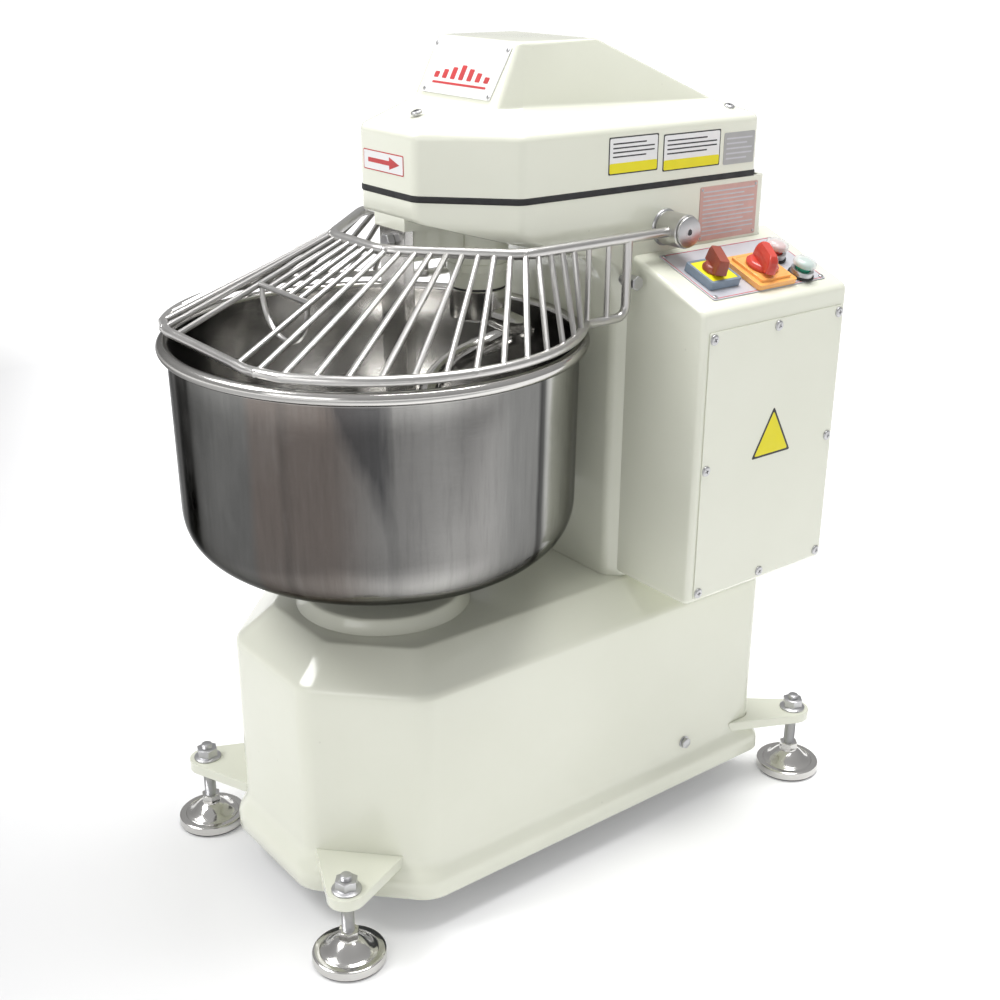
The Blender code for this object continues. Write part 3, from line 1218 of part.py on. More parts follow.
def build_box():
    """The open box, its cover plate and the switchgear inside; gives back the box for the controls to pierce."""
    shell = box_prism("box_shell", BOX_INNER_X, 0.0, 0.010, 0.004)
    boolean(shell, bpy.data.objects["column_clearance"], "DIFFERENCE")
    hollow = box_prism("box_hollow", HEAD_HALF_WIDTH + GAP + BOX_WALL, BOX_WALL, 0.008, 0.002)
    boolean(shell, hollow, "DIFFERENCE")
    opening = block(
        "box_opening", (BOX_OUTER_X - REACH, BOX_OPENING_Y[0], BOX_OPENING_Z[0]),
        (BOX_OUTER_X + REACH, BOX_OPENING_Y[1], BOX_OPENING_Z[1]), "cream_enamel", ROOT,
    )
    boolean(shell, opening, "DIFFERENCE")
    plate_x = BOX_OUTER_X + GAP
    plate = block(
        "box_cover", (plate_x, COVER_PLATE_Y[0], COVER_PLATE_Z[0]),
        (plate_x + COVER_PLATE_THICKNESS, COVER_PLATE_Y[1], COVER_PLATE_Z[1]), "cream_enamel", ROOT,
    )
    screws = []
    for row in range(3):
        for column in range(3):
            if row == 1 and column == 1:
                continue
            place = (
                plate_x + COVER_PLATE_THICKNESS - SCREW_SINK,
                BOX_SCREW_FIRST[0] + BOX_SCREW_STEP[0] * column,
                BOX_SCREW_FIRST[1] + BOX_SCREW_STEP[1] * row,
            )
            screws.append(dome_screw(f"box_screw_{row}_{column}", place, (0, math.pi / 2, 0)))
    fuse_all(plate, screws, "box_screws")
    plate_x = HEAD_HALF_WIDTH + 2 * GAP + BOX_WALL
    (front, rear), (bottom, top) = CONTACTOR_PLATE_Y, CONTACTOR_PLATE_Z
    block("contactor_plate", (plate_x, front, bottom), (plate_x + BOX_WALL, rear, top), "aluminium", ROOT)
    for name, front in (("spiral_contactor", SPIRAL_CONTACTOR_Y), ("bowl_contactor", BOWL_CONTACTOR_Y)):
        low = (plate_x + BOX_WALL + GAP, front, CONTACTOR_Z[0])
        high = (low[0] + CONTACTOR_DEPTH, front + CONTACTOR_WIDTH, CONTACTOR_Z[1])
        block(name, low, high, "black_plastic", ROOT)
    return shell


def panel_hole(name, place, radius, frame):
    return rod(name, radius, -0.02, 0.02, "cream_enamel", frame, (*place, 0), steps=16)


def build_controls(shell):
    """Everything on the sloping panel, placed in the panel's own frame: X down the slope, Y back, Z out."""
    frame = add_empty("panel_frame", (HEAD_HALF_WIDTH, BOX_FRONT_Y, BOX_TOP_INNER), ROOT)
    frame.rotation_euler = (0, PANEL_ANGLE, 0)
    low = (PANEL_U[0], PANEL_V[0], GAP)
    high = (PANEL_U[1], PANEL_V[1], GAP + PANEL_THICKNESS)
    plate = block("control_panel", low, high, "aluminium", frame)
    screws = []
    for row, u in enumerate(PANEL_SCREW_U):
        for column, v in enumerate(PANEL_SCREW_V):
            screw = dome_screw(f"panel_screw_{row}_{column}", (u, v, PANEL_THICKNESS), (0, 0, 0), 0.003, 0.0016)
            screw.parent = frame
            screws.append(screw)
    fuse_all(plate, screws, "panel_screws")
    holes = [
        ("main_switch", MAIN_SWITCH_AT, SWITCH_HOLE_RADIUS),
        ("speed_switch", SPEED_SWITCH_AT, SWITCH_HOLE_RADIUS),
        ("start_button", START_BUTTON_AT, BUTTON_HOLE_RADIUS),
        ("stop_button", STOP_BUTTON_AT, BUTTON_HOLE_RADIUS),
        ("power_lamp", LAMP_AT, LAMP_HOLE_RADIUS),
    ]
    for name, place, radius in holes:
        boolean(plate, panel_hole(f"{name}_panel_hole", place, radius, frame), "DIFFERENCE")
        boolean(shell, panel_hole(f"{name}_box_hole", place, radius, frame), "DIFFERENCE")
    surface = GAP + PANEL_THICKNESS + GAP
    build_switch("main_switch", MAIN_SWITCH_AT, MAIN_SWITCH_SIZE, "grey_plastic", "brown_plastic", surface, frame)
    build_switch("speed_switch", SPEED_SWITCH_AT, SPEED_SWITCH_SIZE, "amber_plastic", "red_plastic", surface, frame)
    build_button("start_button", START_BUTTON_AT, "clear_plastic", surface, frame)
    build_button("stop_button", STOP_BUTTON_AT, "red_plastic", surface, frame)
    lamp = [
        (0, -0.024), (LAMP_HOLE_RADIUS - GAP, -0.024), (LAMP_HOLE_RADIUS - GAP, surface),
        (0.0075, surface), (0.0075, surface + 0.003), (0.0062, surface + 0.004), (0.0060, surface + 0.009),
        (0.0040, surface + 0.012), (0, surface + 0.013),
    ]
    turned("power_lamp", lamp, "green_plastic", frame, (*LAMP_AT, 0), steps=20)


def build_switch(name, place, size, plate_finish, knob_finish, surface, frame):
    """A cam switch: square front plate with its body under the panel, and a lever knob that turns on it."""
    here = (*place, 0)
    half = size / 2
    corners = [(-half, -half), (half, -half), (half, half), (-half, half)]
    top = surface + SWITCH_PLATE_HEIGHT
    front = slab(f"{name}_base", rounded(corners, [0.003] * 4, 2), surface, top, plate_finish, frame, here)
    radius = SWITCH_HOLE_RADIUS - GAP
    neck = rod(f"{name}_neck", radius, -0.018, surface + 0.002, plate_finish, frame, here, steps=16)
    side = SWITCH_BODY_HALF
    square = [(-side, -side), (side, -side), (side, side), (-side, side)]
    body = slab(f"{name}_body", square, *SWITCH_BODY_Z, plate_finish, frame, here)
    fuse_all(front, [neck, body], f"{name}_join")
    low = top + GAP
    radius = size * 0.31
    knob = turned(
        f"{name}_knob",
        [(0, low), (radius, low), (radius, low + 0.003), (radius * 0.86, low + 0.007), (0, low + 0.007)],
        knob_finish, frame, here, steps=24,
    )
    reach = size * 0.44
    grip = [(-0.0065, -reach * 0.92), (0.0065, -reach * 0.92), (0.0080, reach), (-0.0080, reach)]
    lever = slab(f"{name}_lever", rounded(grip, [0.002] * 4, 2), low + 0.004, low + 0.022, knob_finish, frame, here)
    lever.rotation_euler = (0, 0, math.radians(SWITCH_LEVER_TURN))
    boolean(knob, lever, "UNION")


def build_button(name, place, cap_finish, surface, frame):
    """A push-button: fixed collar with its body under the panel, and a cap that travels into the collar."""
    here = (*place, 0)
    shaft = BUTTON_HOLE_RADIUS - GAP
    collar = [
        (0, -0.032), (shaft, -0.032), (shaft, surface), (0.0135, surface), (0.0140, surface + 0.001),
        (0.0140, surface + 0.008), (0.0130, surface + 0.009), (0.0098, surface + 0.009), (0.0098, surface + 0.001),
        (0, surface + 0.001),
    ]
    turned(f"{name}_collar", collar, "machined_steel", frame, here, steps=24)
    cap = [
        (0, surface + 0.007), (0.0092, surface + 0.007), (0.0092, surface + 0.0135), (0.0148, surface + 0.0145),
        (0.0148, surface + 0.0185), (0.0125, surface + 0.0215), (0.0060, surface + 0.0230), (0, surface + 0.0234),
    ]
    turned(f"{name}_cap", cap, cap_finish, frame, here, steps=24)


def build_mixer():
    build_base()
    build_feet()
    build_column()
    helper(column_solid("column_clearance", GAP, stretch=0.0))
    build_cover()
    build_bowl()
    build_bowl_drive()
    build_spiral_drive()
    build_spiral_hook()
    build_breaker_bar()
    build_guard()
    build_guard_fixings()
    build_controls(build_box())


clear_scene()
for finish_name in FINISHES:
    make_finish(finish_name)
ROOT = add_empty("mixer", ORIGIN_SHIFT)
build_mixer()
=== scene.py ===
"""Looks for the spiral dough mixer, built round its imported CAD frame.

Lengths are metres. Most pieces are built with the bowl's axis on the floor as their origin, and ORIGIN moves
them into the frame's own place.
"""

import json
import math

import bmesh
import bpy
from mathutils import Euler, Matrix, Vector


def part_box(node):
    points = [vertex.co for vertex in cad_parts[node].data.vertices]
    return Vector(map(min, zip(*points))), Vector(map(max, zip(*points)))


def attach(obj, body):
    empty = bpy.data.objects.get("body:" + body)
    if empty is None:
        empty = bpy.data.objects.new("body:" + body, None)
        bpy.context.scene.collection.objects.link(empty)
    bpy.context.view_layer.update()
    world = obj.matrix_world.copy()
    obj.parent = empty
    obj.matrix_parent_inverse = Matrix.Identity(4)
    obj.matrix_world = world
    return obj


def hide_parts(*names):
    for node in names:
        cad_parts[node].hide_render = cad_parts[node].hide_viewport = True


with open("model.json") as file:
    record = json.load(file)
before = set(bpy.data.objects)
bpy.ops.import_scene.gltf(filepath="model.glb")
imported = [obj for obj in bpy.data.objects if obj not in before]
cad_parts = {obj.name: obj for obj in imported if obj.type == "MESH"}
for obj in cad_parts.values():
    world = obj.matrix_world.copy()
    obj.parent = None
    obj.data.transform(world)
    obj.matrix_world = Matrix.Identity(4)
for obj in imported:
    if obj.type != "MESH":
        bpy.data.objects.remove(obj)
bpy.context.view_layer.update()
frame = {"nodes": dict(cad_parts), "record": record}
NODES = frame["nodes"]

bowl_low, bowl_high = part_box("bowl")
ORIGIN = Vector(((bowl_low.x + bowl_high.x) / 2, (bowl_low.y + bowl_high.y) / 2, 0.0))

# ---------------------------------------------------------------- shapes of the CAD, repeated at a finer step

SIDES = ((1, "right"), (-1, "left"))
GAP = 0.0003
SMOOTH_DEG = 35.0

BASE_HALF_WIDTH = 0.185
BASE_NOSE_HALF_WIDTH = 0.080
BASE_FRONT_Y = -0.166
BASE_CHAMFER_Y = -0.063
BASE_REAR_Y = 0.485
BASE_BOTTOM = 0.045
BASE_SHOULDER = 0.316
BASE_TOP = 0.350
BASE_WALL = 0.004
BASE_CORNER = 0.042
BASE_REAR_CORNER = 0.020
BASE_HOLE_RADIUS = 0.0615
BASE_BOLT_AT = (0.352, 0.100)
SHOULDER_RUN = 0.050
SHOULDER_LOW_RADIUS = 0.014
SHOULDER_TOP_RADIUS = 0.010
SKIRT_FLARE = 0.012
# heights up the skirt with the share of its flare that is left at each
SKIRT_CURVE = (
    (0.0600, 1.0), (0.0640, 0.97), (0.0680, 0.86), (0.0720, 0.70), (0.0770, 0.46), (0.0820, 0.26),
    (0.0880, 0.10), (0.0950, 0.0), (0.2000, 0.0),
)

HEAD_HALF_WIDTH = 0.135
HEAD_NOSE_HALF_WIDTH = 0.0525
HEAD_FRONT_Y = 0.0205
HEAD_CHAMFER_Y = 0.104
HEAD_CORNER = 0.018
HEAD_REAR_CORNER = 0.010
HEAD_SPLIT = 0.834
HEAD_FLOOR_FRONT = 0.812
HEAD_FLOOR_SLOPE = -0.27
COLUMN_FRONT_Y = 0.255
COLUMN_REAR_Y = 0.485
COLUMN_CHAMFER = 0.030
COLUMN_WALL = 0.005
THROAT_RADIUS = 0.085
REAR_HOLE = ((-0.080, 0.430), (0.080, 0.760))
REAR_PANEL = ((-0.095, 0.410), (0.095, 0.780))
REAR_PANEL_THICKNESS = 0.0015
REAR_SCREW_X = (-0.087, 0.087)
REAR_SCREW_Z = (0.419, 0.595, 0.771)

GASKET_HEIGHT = 0.007
GASKET_PROUD = 0.0008
COVER_REAR_Y = 0.468
COVER_WALL_TOP = 0.906
COVER_WALL = 0.003
DECK_FRONT_Z = 0.929
DECK_MIDDLE_Z = 0.9275
DECK_REAR_Z = 0.9215
HUMP_HALF_WIDTH = 0.0795
HUMP_FRONT_Y = 0.1116
HUMP_REAR_Y = 0.437
HUMP_TOP = 0.9954
HUMP_TOP_FRONT_Y = 0.143
HUMP_TOP_REAR_Y = 0.2563
HUMP_TOP_HALF_WIDTH = 0.0755
HUMP_LEAN = math.atan2(HUMP_TOP_FRONT_Y - HUMP_FRONT_Y, HUMP_TOP - DECK_FRONT_Z)
HUMP_CORNER = 0.007
CORNER_STEPS = 10
SIGN_THICKNESS = 0.0011

BOWL_RIM_Z = 0.6795
BOWL_RIM_RADIUS = 0.236
BOWL_BEAD = 0.0075
BOWL_WALL_RADIUS = 0.2324
BOWL_KNEE_RADIUS = 0.2306
BOWL_KNEE_Z = 0.4956
BOWL_BOTTOM_Z = 0.4135
BOWL_FLAT_RADIUS = 0.078
BOWL_CURVE_POWER = 2.55
BOWL_CURVE_STEPS = 26
BOWL_WALL = 0.002
BEARING_BORE = 0.0345
BEARING_RADIUS = 0.060
BEARING_BOTTOM = 0.262

SPIRAL_Y = 0.1453
SPIRAL_HUB_RADIUS = 0.0338
SPIRAL_HUB_EDGE = 0.003
SPIRAL_HUB_BOTTOM = 0.680
SPIRAL_HUB_TOP = 0.7165
SPIRAL_ROD_RADIUS = 0.0135
SPIRAL_START_RADIUS = 0.014
SPIRAL_SWEEP_RADIUS = 0.0605
SPIRAL_START_DEG = -10
SPIRAL_TURN_DEG = 430
SPIRAL_SWING_SHARE = 0.24
SPIRAL_TIP_SHARE = 0.80
SPIRAL_TIP_TUCK = 0.16
SPIRAL_LOW_Z = 0.478
SLEEVE_NECK_RADIUS = 0.0365
BAR_HALF_WIDTH = 0.025
BAR_FRONT_Y = 0.0245
BAR_THICKNESS = 0.0145
BAR_SHOULDER_Z = 0.670
BAR_TOP = 0.7985
BAR_BOTTOM = 0.452
BAR_BOLT_Z = 0.784
BAR_BOLT_RADIUS = 0.005
RIB_LOW = (-0.018, 0.0735, 0.7635)
RIB_HIGH = (0.018, 0.1123, 0.798)

GUARD_HALF_WIDTH = 0.158
GUARD_HINGE_Y = 0.317
GUARD_HINGE_Z = 0.788
GUARD_FRONT_Y = -0.0215
GUARD_NOSE_HALF_WIDTH = 0.052
GUARD_CHAMFER_Y = 0.0865
GUARD_TUBE_RADIUS = 0.006
GUARD_TUBE_BEND = 0.040
GUARD_RING_RADIUS = 0.2365
GUARD_RING_Z = 0.698
GUARD_RING_TUBE = 0.0055
GUARD_RING_BEND = 0.014
GUARD_CHORD_Y = -0.2105
GUARD_REAR_Y = 0.238
GUARD_ROD_RADIUS = 0.0033
GUARD_WELD_RADIUS = GUARD_ROD_RADIUS * 1.7
GUARD_RODS = 14
GUARD_LAST_ROD_Y = 0.158
GUARD_UPRIGHT_Y = (0.180, 0.209)
GUARD_ROD_STEP_DEG = 8.0
GUARD_FIRST_ROD_DEG = -63.7
GUARD_FEED_TOP_X = 0.039
GUARD_FEED_BOTTOM_X = 0.0694
GUARD_FEED_BAR_SHARE = 0.49
GUARD_FEED_RODS = 4
GUARD_LOOP_DEPTH = 0.052
GUARD_BOSS_RADIUS = 0.0195
GUARD_BOSS_EDGE = 0.0012
GUARD_BOSS_INNER_X = 0.1385
GUARD_BOSS_OUTER_X = 0.172
GUARD_PIN_RADIUS = 0.008
GUARD_REST_AT = (0.2513, 0.7355)

BOX_FRONT_Y = 0.2675
BOX_REAR_Y = 0.5116
BOX_INNER_X = 0.118
BOX_OUTER_X = 0.2546
BOX_BOTTOM = 0.3554
BOX_TOP_INNER = 0.7604
BOX_TOP_OUTER = 0.7168
BOX_WALL = 0.002
BOX_END_RADIUS = 0.006
BOX_OPENING_Y = (0.2915, 0.4900)
BOX_OPENING_Z = (0.3775, 0.6770)
COVER_PLATE_THICKNESS = 0.0015
COVER_PLATE_LOW = (0.2775, 0.3625)
COVER_PLATE_HIGH = (0.5040, 0.6930)
COVER_PLATE_FACE = BOX_OUTER_X + GAP + COVER_PLATE_THICKNESS
DOOR_SCREW_START = (0.2841, 0.3699)
DOOR_SCREW_PITCH = (0.1066, 0.1573)

# places on the sloping panel are (down the slope, back) from its upper front corner
PANEL_ANGLE = math.atan2(BOX_TOP_INNER - BOX_TOP_OUTER, BOX_OUTER_X - HEAD_HALF_WIDTH)
PANEL_CORNER = (HEAD_HALF_WIDTH, BOX_FRONT_Y, BOX_TOP_INNER)
PANEL_LOW = (0.0105, 0.0315)
PANEL_HIGH = (0.1095, 0.2219)
PANEL_THICKNESS = 0.0012
PANEL_TOP = GAP + PANEL_THICKNESS
PANEL_SCREW_U = (0.0150, 0.1050)
PANEL_SCREW_V = (0.0365, 0.2169)
SURFACE = PANEL_TOP + GAP
MAIN_SWITCH_AT = (0.0685, 0.0645)
SPEED_SWITCH_AT = (0.0770, 0.1360)
START_BUTTON_AT = (0.0955, 0.1900)
STOP_BUTTON_AT = (0.0520, 0.1850)
LAMP_AT = (0.0340, 0.1040)
SWITCH_PLATE_TOP = SURFACE + 0.010
SWITCH_LEVER_TURN = math.radians(-115)
BUTTON_HOLE_RADIUS = 0.011
SWITCH_HOLE_RADIUS = 0.0105
LAMP_HOLE_RADIUS = 0.0055

FRONT_FOOT = (0.173, -0.171)
REAR_FOOT = (0.209, 0.542)
FRONT_BRACKET_ROOTS = ((0.1613, -0.0864), (0.140, -0.078), (0.078, -0.140), (0.0863, -0.1599))
REAR_BRACKET_ROOTS = ((0.132, 0.485), (0.140, 0.465), (0.165, 0.4365), (0.185, 0.4365))
BRACKET_TIP_RADIUS = 0.023
BRACKET_THICKNESS = 0.014
BRACKET_TOP = 0.0975
FOOT_RADIUS = 0.0434
FOOT_CUP_HEIGHT = 0.014
STEM_RADIUS = 0.0075
STEM_TOP = 0.1180

# ---------------------------------------------------------------- material building


class Nodes:
    """A short way to write a material's node tree."""

    def __init__(self, name):
        self.material = bpy.data.materials.new(name)
        self.material.use_nodes = True
        self.tree = self.material.node_tree
        self.shader = self.tree.nodes["Principled BSDF"]
        self.place = None

    def add(self, kind, **settings):
        made = self.tree.nodes.new(kind)
        for key, value in settings.items():
            setattr(made, key, value)
        return made

    def link(self, source, target):
        self.tree.links.new(source, target)

    def coordinates(self):
        if self.place is None:
            self.place = self.add("ShaderNodeTexCoord").outputs["Object"]
        return self.place

    def split(self):
        """The X, Y and Z of each point."""
        node = self.add("ShaderNodeSeparateXYZ")
        self.link(self.coordinates(), node.inputs[0])
        return tuple(node.outputs)

    def joined(self, *values):
        node = self.add("ShaderNodeCombineXYZ")
        for socket, value in zip(node.inputs, values):
            self.link(value, socket)
        return node.outputs[0]

    def scaled(self, stretch):
        mapping = self.add("ShaderNodeMapping")
        mapping.inputs["Scale"].default_value = stretch
        self.link(self.coordinates(), mapping.inputs["Vector"])
        return mapping.outputs["Vector"]

    def noise(self, scale, detail=3.0, stretch=None, vector=None, roughness=0.5):
        node = self.add("ShaderNodeTexNoise")
        node.inputs["Scale"].default_value = scale
        node.inputs["Detail"].default_value = detail
        node.inputs["Roughness"].default_value = roughness
        if vector is None:
            vector = self.scaled(stretch) if stretch else self.coordinates()
        self.link(vector, node.inputs["Vector"])
        return node.outputs["Fac"]

    def cells(self, scale):
        node = self.add("ShaderNodeTexVoronoi", feature="F1")
        node.inputs["Scale"].default_value = scale
        self.link(self.coordinates(), node.inputs["Vector"])
        return node.outputs["Distance"]

    def spread(self, source, low, high, from_low=0.3, from_high=0.7):
        """A value moved from one range to another and held inside it."""
        node = self.add("ShaderNodeMapRange")
        node.inputs["From Min"].default_value = from_low
        node.inputs["From Max"].default_value = from_high
        node.inputs["To Min"].default_value = low
        node.inputs["To Max"].default_value = high
        self.link(source, node.inputs["Value"])
        return node.outputs["Result"]

    def mix(self, factor, first, second):
        node = self.add("ShaderNodeMix", data_type="RGBA")
        for socket, value in ((node.inputs[6], first), (node.inputs[7], second)):
            if isinstance(value, tuple):
                socket.default_value = (*value, 1.0)
            else:
                self.link(value, socket)
        self.link(factor, node.inputs[0])
        return node.outputs[2]

    def math(self, operation, *values):
        node = self.add("ShaderNodeMath", operation=operation)
        for socket, value in zip(node.inputs, values):
            if isinstance(value, (int, float)):
                socket.default_value = value
            else:
                self.link(value, socket)
        return node.outputs[0]

    def along(self, x, y, direction):
        """How far each point lies along a level direction."""
        across, back = direction
        return self.math("ADD", self.math("MULTIPLY", x, across), self.math("MULTIPLY", y, back))

    def reach(self, x, y):
        """Each point's distance from the upright axis."""
        return self.math("SQRT", self.math("ADD", self.math("MULTIPLY", x, x), self.math("MULTIPLY", y, y)))

    def shaken(self, value, noise, amount):
        """A value moved to and fro by a noise."""
        return self.math("ADD", value, self.math("MULTIPLY", self.math("SUBTRACT", noise, 0.5), amount))

    def bump(self, height, strength, distance, after=None):
        node = self.add("ShaderNodeBump")
        node.inputs["Strength"].default_value = strength
        node.inputs["Distance"].default_value = distance
        self.link(height, node.inputs["Height"])
        if after is not None:
            self.link(after, node.inputs["Normal"])
        return node.outputs["Normal"]

    def into(self, name, source):
        socket = self.shader.inputs[name]
        if isinstance(source, (int, float)):
            socket.default_value = source
        elif isinstance(source, tuple):
            socket.default_value = (*source, 1.0)
        else:
            self.link(source, socket)


def darker(colour, share):
    return tuple(channel * share for channel in colour)


def enamel(name, light, dark):
    """Glossy baked enamel with orange peel, faint cloudiness and a few specks."""
    n = Nodes(name)
    cloud = n.spread(n.noise(5.0, 4.0), 0.0, 1.0, 0.35, 0.65)
    speck = n.spread(n.cells(24.0), 0.30, 0.0, 0.022, 0.040)
    n.into("Base Color", n.mix(speck, n.mix(cloud, light, dark), darker(dark, 0.72)))
    n.into("Roughness", n.spread(n.noise(11.0, 5.0), 0.17, 0.25))
    n.into("Coat Weight", 0.5)
    n.into("Coat Roughness", 0.06)
    peel = n.bump(n.noise(420.0, 2.0), 0.05, 0.0006)
    n.into("Normal", n.bump(n.noise(38.0, 2.0), 0.06, 0.002, peel))
    return n.material


# painted reflection tones for the bowl's outside; the last is the tone where the bands wrap round
BOWL_REFLECTION_BLACK = (0.035, 0.035, 0.035)
BOWL_REFLECTION_BROWN = (0.185, 0.160, 0.145)
BOWL_REFLECTION_DIM = (0.165, 0.165, 0.160)
BOWL_REFLECTION_MID = (0.300, 0.295, 0.285)
BOWL_REFLECTION_LIGHT = (0.400, 0.395, 0.380)
BOWL_REFLECTION_BRIGHT = (0.500, 0.500, 0.480)
BOWL_REFLECTION_WRAP = (0.300, 0.295, 0.290)
# painted reflections: tones round the bowl, by bearing from its right-hand side, counter-clockwise from above
BOWL_REFLECTION_BANDS = (
    (-150, BOWL_REFLECTION_MID), (-114, BOWL_REFLECTION_MID), (-110, BOWL_REFLECTION_BLACK), (-105, BOWL_REFLECTION_BLACK), (-102, BOWL_REFLECTION_MID),
    (-99, BOWL_REFLECTION_BLACK), (-92, BOWL_REFLECTION_BLACK), (-89, BOWL_REFLECTION_DIM), (-69, BOWL_REFLECTION_DIM), (-66, BOWL_REFLECTION_BROWN),
    (-58, BOWL_REFLECTION_BROWN), (-57, BOWL_REFLECTION_BLACK), (-56, BOWL_REFLECTION_BROWN), (-46, BOWL_REFLECTION_BROWN), (-30, BOWL_REFLECTION_MID),
    (-16, BOWL_REFLECTION_LIGHT), (-8, BOWL_REFLECTION_MID), (6, BOWL_REFLECTION_DIM), (14, BOWL_REFLECTION_DIM), (16, BOWL_REFLECTION_BLACK),
    (20, BOWL_REFLECTION_BRIGHT), (49, BOWL_REFLECTION_BRIGHT), (70, BOWL_REFLECTION_MID), (100, BOWL_REFLECTION_DIM), (108, BOWL_REFLECTION_MID),
    (140, BOWL_REFLECTION_DIM), (150, BOWL_REFLECTION_MID),
)
# where the painted dark reflection lies: its bearings, and the heights over which it narrows
BOWL_WEDGE_BEARINGS = (-45, -32)
BOWL_WEDGE_Z = (0.530, 0.680)


def painted_reflection_bands(n, angle):
    """Upright bands of painted reflection round the bowl, with slightly wavy edges."""
    ramp = n.add("ShaderNodeValToRGB")
    ramp.color_ramp.interpolation = "EASE"
    stops = ramp.color_ramp.elements
    for end in stops:
        end.color = (*BOWL_REFLECTION_WRAP, 1.0)
    for bearing, tone in BOWL_REFLECTION_BANDS:
        stops.new(bearing / 360 + 0.5).color = (*tone, 1.0)
    wavy = n.shaken(angle, n.noise(9.0, 3.0, stretch=(1.0, 1.0, 0.25)), 0.06)
    n.link(n.math("ADD", n.math("DIVIDE", wavy, math.tau), 0.5), ramp.inputs["Fac"])
    return ramp.outputs["Color"]


def dark_reflection_wedge(n, angle, height, ground):
    """A painted dark reflection with frayed sides that narrows downwards from the rim."""
    first, last = (math.radians(bearing) for bearing in BOWL_WEDGE_BEARINGS)
    frayed = n.shaken(angle, n.noise(11.0, 5.0, stretch=(1.0, 1.0, 0.16), roughness=0.65), 0.34)
    edge = n.spread(height, last, first, *BOWL_WEDGE_Z)
    near_side = n.spread(n.math("SUBTRACT", frayed, edge), 0.0, 1.0, -0.02, 0.06)
    far_side = n.spread(frayed, 1.0, 0.0, last - 0.02, last + 0.05)
    wedge = n.math("MULTIPLY", n.math("MULTIPLY", near_side, far_side), 0.72)
    return n.mix(wedge, ground, (0.050, 0.051, 0.056))


def bowl_lining(n, upright, outside):
    """The brighter steel inside the bowl, on the faces that look towards its middle."""
    broad = n.spread(n.noise(1.6, 2.0, vector=upright), 0.0, 1.0, 0.36, 0.60)
    lining = n.mix(broad, (0.34, 0.335, 0.325), (0.74, 0.73, 0.71))
    centred = n.add("ShaderNodeVectorMath", operation="SUBTRACT")
    centred.inputs[1].default_value = (0.0, 0.0, (BOWL_BOTTOM_Z + BOWL_RIM_Z) / 2)
    n.link(n.coordinates(), centred.inputs[0])
    outward = n.add("ShaderNodeVectorMath", operation="DOT_PRODUCT")
    n.link(n.add("ShaderNodeTexCoord").outputs["Normal"], outward.inputs[0])
    n.link(centred.outputs[0], outward.inputs[1])
    within = n.spread(outward.outputs["Value"], 1.0, 0.0, -0.004, 0.004)
    return n.mix(within, outside, lining)


def bowl_steel(name):
    """Spun steel: fine rings from the lathe, upright bands and a dark wedge of painted reflection, darker towards the
    bottom, and wiped smears.
    """
    n = Nodes(name)
    n.into("Metallic", 1.0)
    n.into("Specular Tint", (0.30, 0.30, 0.30))
    x, y, height = n.split()
    angle = n.math("ARCTAN2", y, x)
    rings = n.joined(n.math("MULTIPLY", angle, 0.012), height, n.reach(x, y))
    lines = n.noise(900.0, vector=rings, roughness=0.6)
    smear = n.noise(6.0, 6.0, stretch=(1.0, 1.0, 0.5), roughness=0.6)
    # painted reflections: the bands with the dark wedge over them
    reflected_tones = dark_reflection_wedge(n, angle, height, painted_reflection_bands(n, angle))
    clouded = n.mix(n.spread(smear, 0.0, 0.22, 0.48, 0.66), reflected_tones, (0.42, 0.415, 0.40))
    # darker towards the bottom of the bowl
    low = n.spread(height, 0.55, 0.0, BOWL_BOTTOM_Z + 0.02, BOWL_KNEE_Z + 0.03)
    darkened_low = n.mix(low, clouded, (0.12, 0.118, 0.112))
    upright = n.joined(angle, n.math("MULTIPLY", height, 0.35))
    streaks = n.noise(34.0, 6.0, vector=upright, roughness=0.7)
    dark = n.mix(n.spread(streaks, 0.0, 0.20, 0.50, 0.72), darkened_low, (0.06, 0.058, 0.056))
    pale = n.mix(n.spread(streaks, 0.10, 0.0, 0.28, 0.46), dark, (0.42, 0.41, 0.40))
    bead_z = BOWL_RIM_Z - BOWL_BEAD
    bead = n.spread(height, 0.0, 1.0, bead_z - 0.003, bead_z + 0.001)
    n.into("Base Color", n.mix(bead, bowl_lining(n, upright, pale), (0.62, 0.61, 0.59)))
    mixed = n.math("ADD", n.math("MULTIPLY", lines, 0.4), n.math("MULTIPLY", smear, 0.6))
    n.into("Roughness", n.spread(mixed, 0.10, 0.26, 0.35, 0.65))
    n.into("Normal", n.bump(lines, 0.05, 0.0002))
    return n.material


def steel(name, colour, low, high, grain=(1, 1, 1), grain_scale=60.0, scratch=0.10):
    """Steel with directional grain, faint smears and small scratches."""
    n = Nodes(name)
    n.into("Metallic", 1.0)
    lines = n.noise(grain_scale, 4.0, stretch=grain, roughness=0.65)
    smear = n.noise(7.0, 5.0, stretch=(1.0, 1.0, 0.35))
    n.into("Base Color", n.mix(n.spread(smear, 0.0, 1.0), colour, darker(colour, 0.86)))
    mixed = n.math("ADD", n.math("MULTIPLY", lines, 0.55), n.math("MULTIPLY", smear, 0.45))
    n.into("Roughness", n.spread(mixed, low, high, 0.35, 0.65))
    n.into("Normal", n.bump(lines, scratch, 0.0002))
    return n.material


def moulded(name, colour, roughness, coat=0.0, alpha=1.0, grain=0.12, shade=0.8):
    """Moulded plastic, rubber or print with a fine texture."""
    n = Nodes(name)
    n.into("Base Color", n.mix(n.spread(n.noise(60.0), 0.0, 1.0), colour, darker(colour, shade)))
    n.into("Roughness", n.spread(n.noise(90.0), roughness * 0.86, roughness * 1.14))
    n.into("Coat Weight", coat)
    n.into("Alpha", alpha)
    n.into("Normal", n.bump(n.noise(900.0, 2.0), grain, 0.0003))
    return n.material


def label(name, colour, roughness, shade=0.95, **settings):
    return moulded(name, colour, roughness, grain=0.03, shade=shade, **settings)


